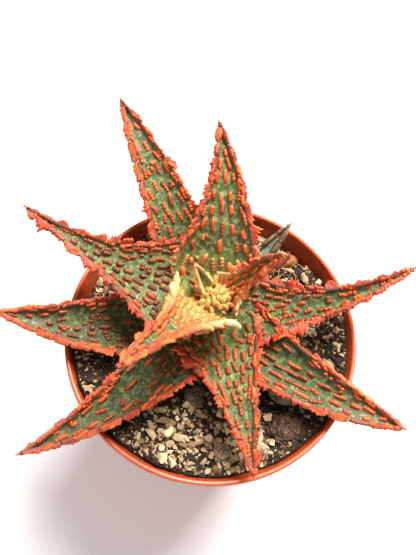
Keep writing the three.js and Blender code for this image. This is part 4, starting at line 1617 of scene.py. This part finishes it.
@dataclass
class Pot:
    """A thin round plastic nursery pot with a rolled rim, a collar and drainage holes.

    Attributes:
        height: Height over the foot.
        rim: Radius of the rim.
        sides: Points round the wall.
        hole_circle: Radius of the circle that the holes stand on.
        hole: Radius of a hole.
        holes: How many holes there are.
        ribs: How many small ribs stand inside the collar.
    """

    height: float = POT_HEIGHT
    rim: float = 35.0
    sides: int = 144
    hole_circle: float = 14.5
    hole: float = 3.0
    holes: int = 6
    ribs: int = 4

    def profile(self) -> Array:
        """Radius and height of the wall, outside first, with softened corners."""
        top = self.height
        corners = np.array([
            (0.0, 0), (10, 0), (11, 1), (18.5, 1), (20, 0), (24.6, 0), (30.4, top - 9.4), (31.6, top - 9),
            (33.7, top - 2), (self.rim, top - 1.1), (34.6, top), (33.8, top - 0.2), (33, top - 1.8),
            (31, top - 8.6), (29.6, top - 9.2), (23.4, 2.3), (0.0, 2.3)])
        line = [corners[0]]
        for before, here, after in zip(corners, corners[1:], corners[2:]):
            back, ahead = np.linalg.norm(here - before), np.linalg.norm(after - here)
            reach = min(0.45, 0.35 * back, 0.35 * ahead)
            first, last = here + (before - here) / back * reach, here + (after - here) / ahead * reach
            line += [(1 - t) ** 2 * first + 2 * t * (1 - t) * here + t * t * last for t in (0.0, 0.33, 0.67, 1.0)]
        return np.array([*line, corners[-1]])

    def wall(self) -> Shell:
        """The turned wall and floor."""
        line = self.profile()
        points = [line[0]]
        for a, b in zip(line, line[1:]):
            steps = max(1, int(np.linalg.norm(b - a) / 4))
            points += [a + (b - a) * k / steps for k in range(1, steps + 1)]
        radii, levels = np.array(points).T[:, :, None]
        rings = turned(np.maximum(radii, 0.02), levels, self.sides)
        # The inside flag darkens the inner wall with painted shade and lays dust on it.
        inside = np.arange(len(points)) > int(np.argmax(levels)) + 3
        return closed_tube(rings, {"inside": inside[:, None] * np.ones(self.sides)})

    def cut_holes(self, piece: Thing) -> None:
        """Cuts the drainage holes through the floor."""
        work = bmesh.new()
        for i in range(self.holes):
            a = i / self.holes * 2 * math.pi
            place = (self.hole_circle * math.cos(a) * MM, self.hole_circle * math.sin(a) * MM, 2 * MM)
            bmesh.ops.create_cone(work, cap_ends=True, segments=28, radius1=self.hole * MM,
                                  radius2=self.hole * MM, depth=8 * MM, matrix=Matrix.Translation(place))
        mesh = bpy.data.meshes.new("holes")
        work.to_mesh(mesh)
        work.free()
        tool = linked("holes", mesh)
        step = piece.modifiers.new("holes", "BOOLEAN")
        step.operation, step.object, step.solver = "DIFFERENCE", tool, "EXACT"
        bake(piece)
        bpy.data.objects.remove(tool)

    def rib_shells(self) -> list[Shell]:
        """The small ribs that stand inside the collar."""
        shells = []
        for i in range(self.ribs):
            a = math.radians(-76 + i * 90)
            out, side = np.array([math.cos(a), math.sin(a), 0]), np.array([-math.sin(a), math.cos(a), 0])
            rings = []
            for t in np.linspace(0, 1, 9):
                level, radius = UP * (self.height - 8.4 + 5.6 * t), 31.0 + 1.6 * t
                half, depth = 0.4 * (1 - 0.3 * t), 0.75 * (1 - 0.5 * t)
                back, front = out * (radius + 0.5), out * (radius - depth)
                rings.append([back + side * half + level, front + side * half * 0.6 + level,
                              front - side * half * 0.6 + level, back - side * half + level])
            rings = np.array(rings)
            # The ribs get part of the painted inside shade and of the dust.
            shells.append(closed_tube(rings, {"inside": np.ones(rings.shape[:2]) * 0.6}))
        return shells

    def build(self, kit: Kit) -> None:
        """Builds the pot.

        Args:
            kit: The finishes.
        """
        finish = [kit.finishes["plastic"]]
        wall = add_piece("nursery_pot", self.wall(), finish)
        self.cut_holes(wall)
        settle(wall, "pot", "terracotta_plastic")
        ribs = add_piece("collar_ribs", joined(self.rib_shells()), finish, soft=False)
        settle(ribs, "pot", "terracotta_plastic")


@dataclass
class Compost:
    """The compost: a rough peat surface with grit, bark and fibres.

    Attributes:
        rings: Rings of points from the middle out.
        sides: Points round each ring.
        grit: How many pale chips lie on it.
        sand: How many fine grains lie on it.
        crumbs: How many dark crumbs lie on it.
        fibres: How many dry fibres lie on it.
        edge: Radius of its surface, just inside the wall.
        bank: How much higher it stands against the front of the wall.
        walls: Radius and height of its sides, from the top down.
        patches: Middle and spread of each place with much grit.
    """

    rings: int = 74
    sides: int = 200
    grit: int = 1100
    sand: int = 2400
    crumbs: int = 1500
    fibres: int = 70
    edge: float = 32.3
    bank: float = 1.4
    walls: tuple[tuple[float, float], ...] = (
        (30.2, POT_HEIGHT - 8.2), (28.9, POT_HEIGHT - 9.4), (23.2, 3.6), (22.0, 3.0), (0.05, 3.0))
    patches: tuple[tuple[float, float, float], ...] = ((-8, -24, 180), (-26, 12, 60), (6, -26, 60), (25, 4, 110))

    def height(self, x: Array, y: Array) -> Array:
        """Height of the rough surface, in millimetres."""
        coarse = 0.45 * lumps(x * 0.55, y * 0.55, 5) + 0.3 * lumps(x * 1.2, y * 1.2, 6)
        bank = self.bank * smooth(25, 32, np.hypot(x, y)) * self.near(x, y)
        return soil_height(x, y) + coarse + 0.16 * lumps(x * 2.6, y * 2.6, 7) - 0.15 + bank

    def near(self, x: Array, y: Array) -> Array:
        """How full the pot is in each direction, from 0 at the back to 1 at the front and right."""
        return np.maximum(smooth(14, -16, y), smooth(8, 24, x) * smooth(24, 6, y))

    def bed(self) -> Shell:
        """The body of compost, down to the pot's floor."""
        angles = np.linspace(0, 2 * np.pi, self.sides, endpoint=False)[None, :]
        reach = self.edge + 0.6 * self.near(self.edge * np.cos(angles), self.edge * np.sin(angles))
        top = turned(0.05 + reach * np.linspace(0, 1, self.rings)[:, None], 0, self.sides)
        top[..., 2] = self.height(top[..., 0], top[..., 1])
        radii, levels = np.array(self.walls).T[:, :, None]
        rings = np.concatenate([top, turned(radii, levels, self.sides)])
        return closed_tube(rings, {"shade": np.zeros(rings.shape[:2])})

    def spots(self, count: int, seed: int, thin: float) -> Array:
        """Random places on the surface, more of them where the photograph shows more grit.

        Args:
            count: How many places.
            seed: Chooses them.
            thin: Share kept where there is least grit.

        Returns:
            Rows of x and y in millimetres.
        """
        dice = np.random.default_rng(seed)
        kept: list[tuple[float, float]] = []
        while len(kept) < count:
            r, a = 32.6 * math.sqrt(dice.uniform()), dice.uniform(0, 2 * math.pi)
            x, y = r * math.cos(a), r * math.sin(a)
            rich = sum(math.exp(-((x - cx) ** 2 + (y - cy) ** 2) / wide) for cx, cy, wide in self.patches)
            if dice.uniform() < thin + (1 - thin) * min(1, rich):
                kept.append((x, y))
        return np.array(kept)

    def layer(self, kind: ShapeKind, finish: str, count: int, seed: int, thin: float,
              size: tuple[float, float, float]) -> Layer:
        """Places for one kind of crumb.

        Args:
            kind: Family of shapes.
            finish: Name of the finish.
            count: How many.
            seed: Chooses them.
            thin: Share kept where there is least grit.
            size: Smallest, usual and largest size.

        Returns:
            The layer.
        """
        dice = np.random.default_rng(seed + 1)
        spots = self.spots(count, seed, thin)
        low, usual, high = size
        big = np.clip(dice.lognormal(math.log(usual), 0.42, count), low, high)
        x, y = spots.T
        reach = self.edge + 0.5 * self.near(x, y) - big * 0.5
        scale = np.minimum(1, reach / np.hypot(x, y))
        points = np.stack([x * scale, y * scale, self.height(x, y) + big * 0.12], -1)
        grit = kind is ShapeKind.GRIT
        tip = 0.9 if grit else 0.5
        turns = [Matrix.Rotation(dice.uniform(0, 2 * math.pi), 3, "Z")
                 @ Matrix.Rotation(dice.uniform(-tip, tip), 3, "X")
                 @ Matrix.Rotation(dice.uniform(-tip, tip), 3, "Y") for _ in range(count)]
        sizes = big[:, None] * dice.uniform(0.75, 1.15, (count, 3))
        shade = np.clip(dice.normal(0.45, 0.27, count), 0, 1) if grit else dice.uniform(0, 1, count) ** 2
        return Layer(kind, finish, points, turns, sizes, dice.integers(0, 7 if grit else 5, count),
                     {"shade": shade})

    def fibre_shells(self) -> list[Shell]:
        """Dry roots and fibres that lie on the compost."""
        dice = np.random.default_rng(Seed.FIBRES)
        shells = []
        for i in range(self.fibres):
            cx, cy, far = (20, 12, 9) if i % 2 == 0 else (0, 0, 28)
            a, r = dice.uniform(0, 2 * math.pi), far * math.sqrt(dice.uniform())
            start = np.array([cx + r * math.cos(a), cy + r * math.sin(a)])
            heading, length = dice.uniform(0, 2 * math.pi), dice.uniform(3, 9)
            t = np.linspace(0, 1, 11)
            turn = heading + dice.uniform(-1.4, 1.4) * t
            steps = np.stack([np.cos(turn), np.sin(turn)], -1) * length / 10
            flat = start + np.cumsum(steps, 0)
            flat *= np.minimum(1, 30.4 / np.maximum(np.hypot(flat[:, 0], flat[:, 1]), 1e-6))[:, None]
            hump = dice.uniform(0.2, 1.3) * np.sin(np.pi * t)
            path = np.column_stack([flat, soil_height(flat[:, 0], flat[:, 1]) + 0.1 + hump])
            shells.append(self.tube(path, dice.uniform(0.07, 0.14)))
        return shells

    def tube(self, path: Array, radius: float) -> Shell:
        """A thin tube along a path, fine at both ends.

        Args:
            path: Points of its middle.
            radius: Its radius.

        Returns:
            The closed shell.
        """
        along = np.gradient(path, axis=0)
        along /= np.linalg.norm(along, axis=1)[:, None]
        side = np.cross(along, UP)
        side /= np.maximum(np.linalg.norm(side, axis=1), 1e-6)[:, None]
        up = np.cross(side, along)
        angles = np.linspace(0, 2 * np.pi, 5, endpoint=False)
        fine = radius * (0.35 + 0.65 * np.sin(np.pi * np.linspace(0.05, 0.95, len(path))) ** 0.5)
        rings = (path[:, None] + side[:, None] * (np.cos(angles)[None, :, None] * fine[:, None, None])
                 + up[:, None] * (np.sin(angles)[None, :, None] * fine[:, None, None]))
        return closed_tube(rings)

    def build(self, kit: Kit) -> None:
        """Builds the compost with all that lies on it.

        Args:
            kit: The finishes and the small shapes.
        """
        bed = add_piece("compost_bed", self.bed(), [kit.finishes["compost"]])
        kit.dress(bed, [
            self.layer(ShapeKind.GRIT, "grit", self.grit, Seed.GRIT, 0.2, (0.6, 1.7, 3.8)),
            self.layer(ShapeKind.GRIT, "grit", self.sand, Seed.SAND, 0.55, (0.3, 0.7, 1.5)),
            self.layer(ShapeKind.CHIP, "compost", self.crumbs, Seed.CRUMBS, 0.8, (0.5, 1.5, 3.4)),
            self.layer(ShapeKind.GRIT, "compost", self.crumbs, Seed.FINE_CRUMBS, 0.9, (0.4, 0.9, 1.8))])
        settle(bed, "soil", "compost")
        fibres = add_piece("dry_fibres", joined(self.fibre_shells()), [kit.finishes["fibre"]])
        settle(fibres, "soil", "compost")


@dataclass(frozen=True)
class StoneShape:
    """One loose stone: its place, half sizes, turn, how high its middle stands, its colours and roughness."""

    node: str
    x: float
    y: float
    half: tuple[float, float, float]
    turn: float
    rise: float
    main: Colour
    stain: Colour
    slot: str
    grain: float = 700.0
    rough: float = 0.055


STONES = (
    StoneShape("stone_dark", 17.0, -22.4, (4.7, 4.4, 3.2), 20, 0.2, srgb(92, 64, 42), srgb(46, 30, 20), "stone_dark",
               450, 0.2),
    StoneShape("stone_grey_flat", -4.2, -14.6, (2.4, 3.2, 1.5), 15, 0.5, srgb(124, 106, 86), srgb(92, 76, 60),
               "stone_dark", 500),
    StoneShape("stone_white", 10.3, -27.4, (2.3, 2.6, 2), 30, 0.3, srgb(204, 184, 154), srgb(160, 130, 96),
               "stone_pale"),
    StoneShape("stone_shard", 15.4, -15.2, (3.1, 1.6, 1.4), -40, 0.6, srgb(190, 172, 150), srgb(140, 120, 100),
               "stone_pale"),
    StoneShape("stone_spotted", 1.6, -27.6, (2.3, 2, 1.6), 0, 0.5, srgb(196, 168, 138), srgb(128, 78, 44),
               "stone_tan"),
    StoneShape("stone_tan", 5.6, -23.4, (2, 1.6, 1.4), 50, 0.5, srgb(198, 170, 130), srgb(150, 116, 80), "stone_tan"),
    StoneShape("stone_cream", 16.2, 24.4, (2.8, 1.9, 1.7), -35, 0.6, srgb(226, 206, 160), srgb(190, 150, 100),
               "stone_pale"),
    StoneShape("stone_orange", 20.6, 20.6, (2.4, 1.9, 1.6), 10, 0.5, srgb(186, 124, 66), srgb(140, 84, 44),
               "stone_brown"),
    StoneShape("stone_block", 26.6, -8.6, (2.6, 2.1, 1.8), 25, 0.4, srgb(176, 152, 112), srgb(124, 98, 70),
               "stone_tan"),
)


@dataclass
class Stone:
    """Builds one loose stone with flattened, broken faces.

    Attributes:
        shape: Its sizes and colours.
        index: Its number, which chooses its faces.
        cuts: How many flat faces it has.
        sharp: How sharp the edges between the faces are.
        girth: Radius of the ball that they are cut from.
    """

    shape: StoneShape
    index: int
    cuts: int = 11
    sharp: float = 60.0
    girth: float = 1.02

    def build(self, effects: Effects) -> None:
        """Builds the stone.

        Args:
            effects: The shared shader groups.
        """
        shape = self.shape
        work = bmesh.new()
        bmesh.ops.create_icosphere(work, subdivisions=5, radius=1)
        dice = np.random.default_rng(Seed.STONES + self.index)
        planes = dice.normal(size=(self.cuts, 3))
        planes /= np.linalg.norm(planes, axis=1)[:, None]
        reach = dice.uniform(0.8, 0.97, self.cuts)
        spin = Matrix.Rotation(math.radians(shape.turn), 3, "Z")
        middle = Vector((shape.x, shape.y, float(soil_height(np.array(shape.x), np.array(shape.y))) + shape.rise))
        for vert in work.verts:
            way = np.array(tuple(vert.co.normalized()))
            facing = planes @ way
            flat = np.where(facing > 0.05, reach / np.maximum(facing, 0.05), 9.0)
            near = np.exp(-flat * self.sharp).sum() + math.exp(-self.girth * self.sharp)
            radius = min(self.girth, float(-np.log(near) / self.sharp))
            rough = noise.fractal(Vector(way * 3.0) + Vector((self.index * 3.1, 0, 0)), 0.7, 2.1, 6)
            size = radius * (1 + shape.rough * rough)
            place = Vector(way * np.array(shape.half)) * size
            vert.co = (middle + spin @ place) * MM
        mesh = bpy.data.meshes.new(shape.node)
        work.to_mesh(mesh)
        work.free()
        mesh.shade_smooth()
        finish = StoneFinish("finish_" + shape.node, 0.8, shape.main, shape.stain, shape.grain)
        mesh.materials.append(finish.material(effects))
        settle(linked("loose_" + shape.node, mesh), shape.node, shape.slot)


# Studio


@dataclass
class Studio:
    """The floor, the soft lights and the camera.

    Attributes:
        eye: Camera's place in metres.
        pitch: How far below the horizon it looks, in degrees.
        yaw: How far it is turned to the right, in degrees.
        roll: How far it is rolled, in degrees.
        lens: Focal length over a 36 mm long side.
        floor_half: Half the floor's side, in metres.
        sky: Strength of the white world.
        lights: Place in metres, side in metres and power in watts of each soft light.
    """

    eye: tuple[float, float, float] = (-0.0103, -0.0450, 0.1979)
    pitch: float = 66.5
    yaw: float = 3.7
    roll: float = 0.2
    lens: float = 600 * 36 / 555
    floor_half: float = 1.5
    sky: float = 0.3
    lights: dict[str, tuple] = field(default_factory=lambda: {
        "key": ((0.17, 0.25, 0.5), 0.3, 6.9), "fill": ((-0.3, -0.3, 0.5), 0.8, 1.5)})

    def camera(self) -> None:
        """Makes the camera at the photograph's angle."""
        data = bpy.data.cameras.new("camera")
        data.lens, data.sensor_width = self.lens, 36.0
        data.clip_start, data.clip_end = 0.01, 10
        low = math.radians(self.pitch)
        ahead, right = Vector((0, math.cos(low), -math.sin(low))), Vector((1, 0, 0))
        up = right.cross(ahead)
        y, r = math.radians(self.yaw), math.radians(self.roll)
        look = ahead * math.cos(y) + right * math.sin(y)
        side = right * math.cos(y) - ahead * math.sin(y)
        right, up = side * math.cos(r) + up * math.sin(r), up * math.cos(r) - side * math.sin(r)
        camera = linked("camera", data)
        camera.matrix_world = Matrix.Translation(self.eye) @ Matrix((right, up, -look)).transposed().to_4x4()
        bpy.context.scene.camera = camera

    def light(self, name: str, place: tuple[float, float, float], size: float, power: float) -> None:
        """Adds a soft square light that faces the plant.

        Args:
            name: Name of the light.
            place: Where it stands, in metres.
            size: Length of its side.
            power: Its power in watts.
        """
        data = bpy.data.lights.new(name, "AREA")
        data.size, data.energy = size, power
        lamp = linked(name, data)
        lamp.location = place
        aim = Vector((0, 0, 0.06)) - Vector(place)
        lamp.rotation_mode = "QUATERNION"
        lamp.rotation_quaternion = aim.to_track_quat("-Z", "Y")

    def floor(self) -> None:
        """Lays the pale floor."""
        half = self.floor_half
        mesh = bpy.data.meshes.new("floor")
        mesh.from_pydata([(-half, -half, 0), (half, -half, 0), (half, half, 0), (-half, half, 0)], [], [(0, 1, 2, 3)])
        mesh.materials.append(FloorFinish("pale_floor", 0.9).material())
        floor = linked("floor", mesh)

    def build(self) -> None:
        """Makes the floor, lights, world and colour view."""
        self.floor()
        for name, (place, size, power) in self.lights.items():
            self.light(name, place, size, power)
        world = bpy.data.worlds.new("world")
        world.use_nodes = True
        sky = world.node_tree.nodes["Background"].inputs
        sky["Color"].default_value, sky["Strength"].default_value = (1.0, 1.0, 1.0, 1), self.sky
        bpy.context.scene.world = world
        bpy.context.scene.view_settings.view_transform = "Standard"
        bpy.context.scene.view_settings.look = "Medium High Contrast"


def main() -> None:
    """Builds the potted aloe piece by piece and reports each."""
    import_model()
    studio = Studio()
    studio.camera()
    studio.build()
    effects = Effects()
    kit = Kit(effects)
    Pot().build(kit)
    Compost().build(kit)
    for index, stone in enumerate(STONES):
        Stone(stone, index).build(effects)
    Crown().build(kit)
    for index, shape in enumerate(LEAVES):
        Leaf(shape, index).build(kit)
    kit.shapes.clear()
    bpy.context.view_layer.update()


if __name__ == "__main__":
    main()
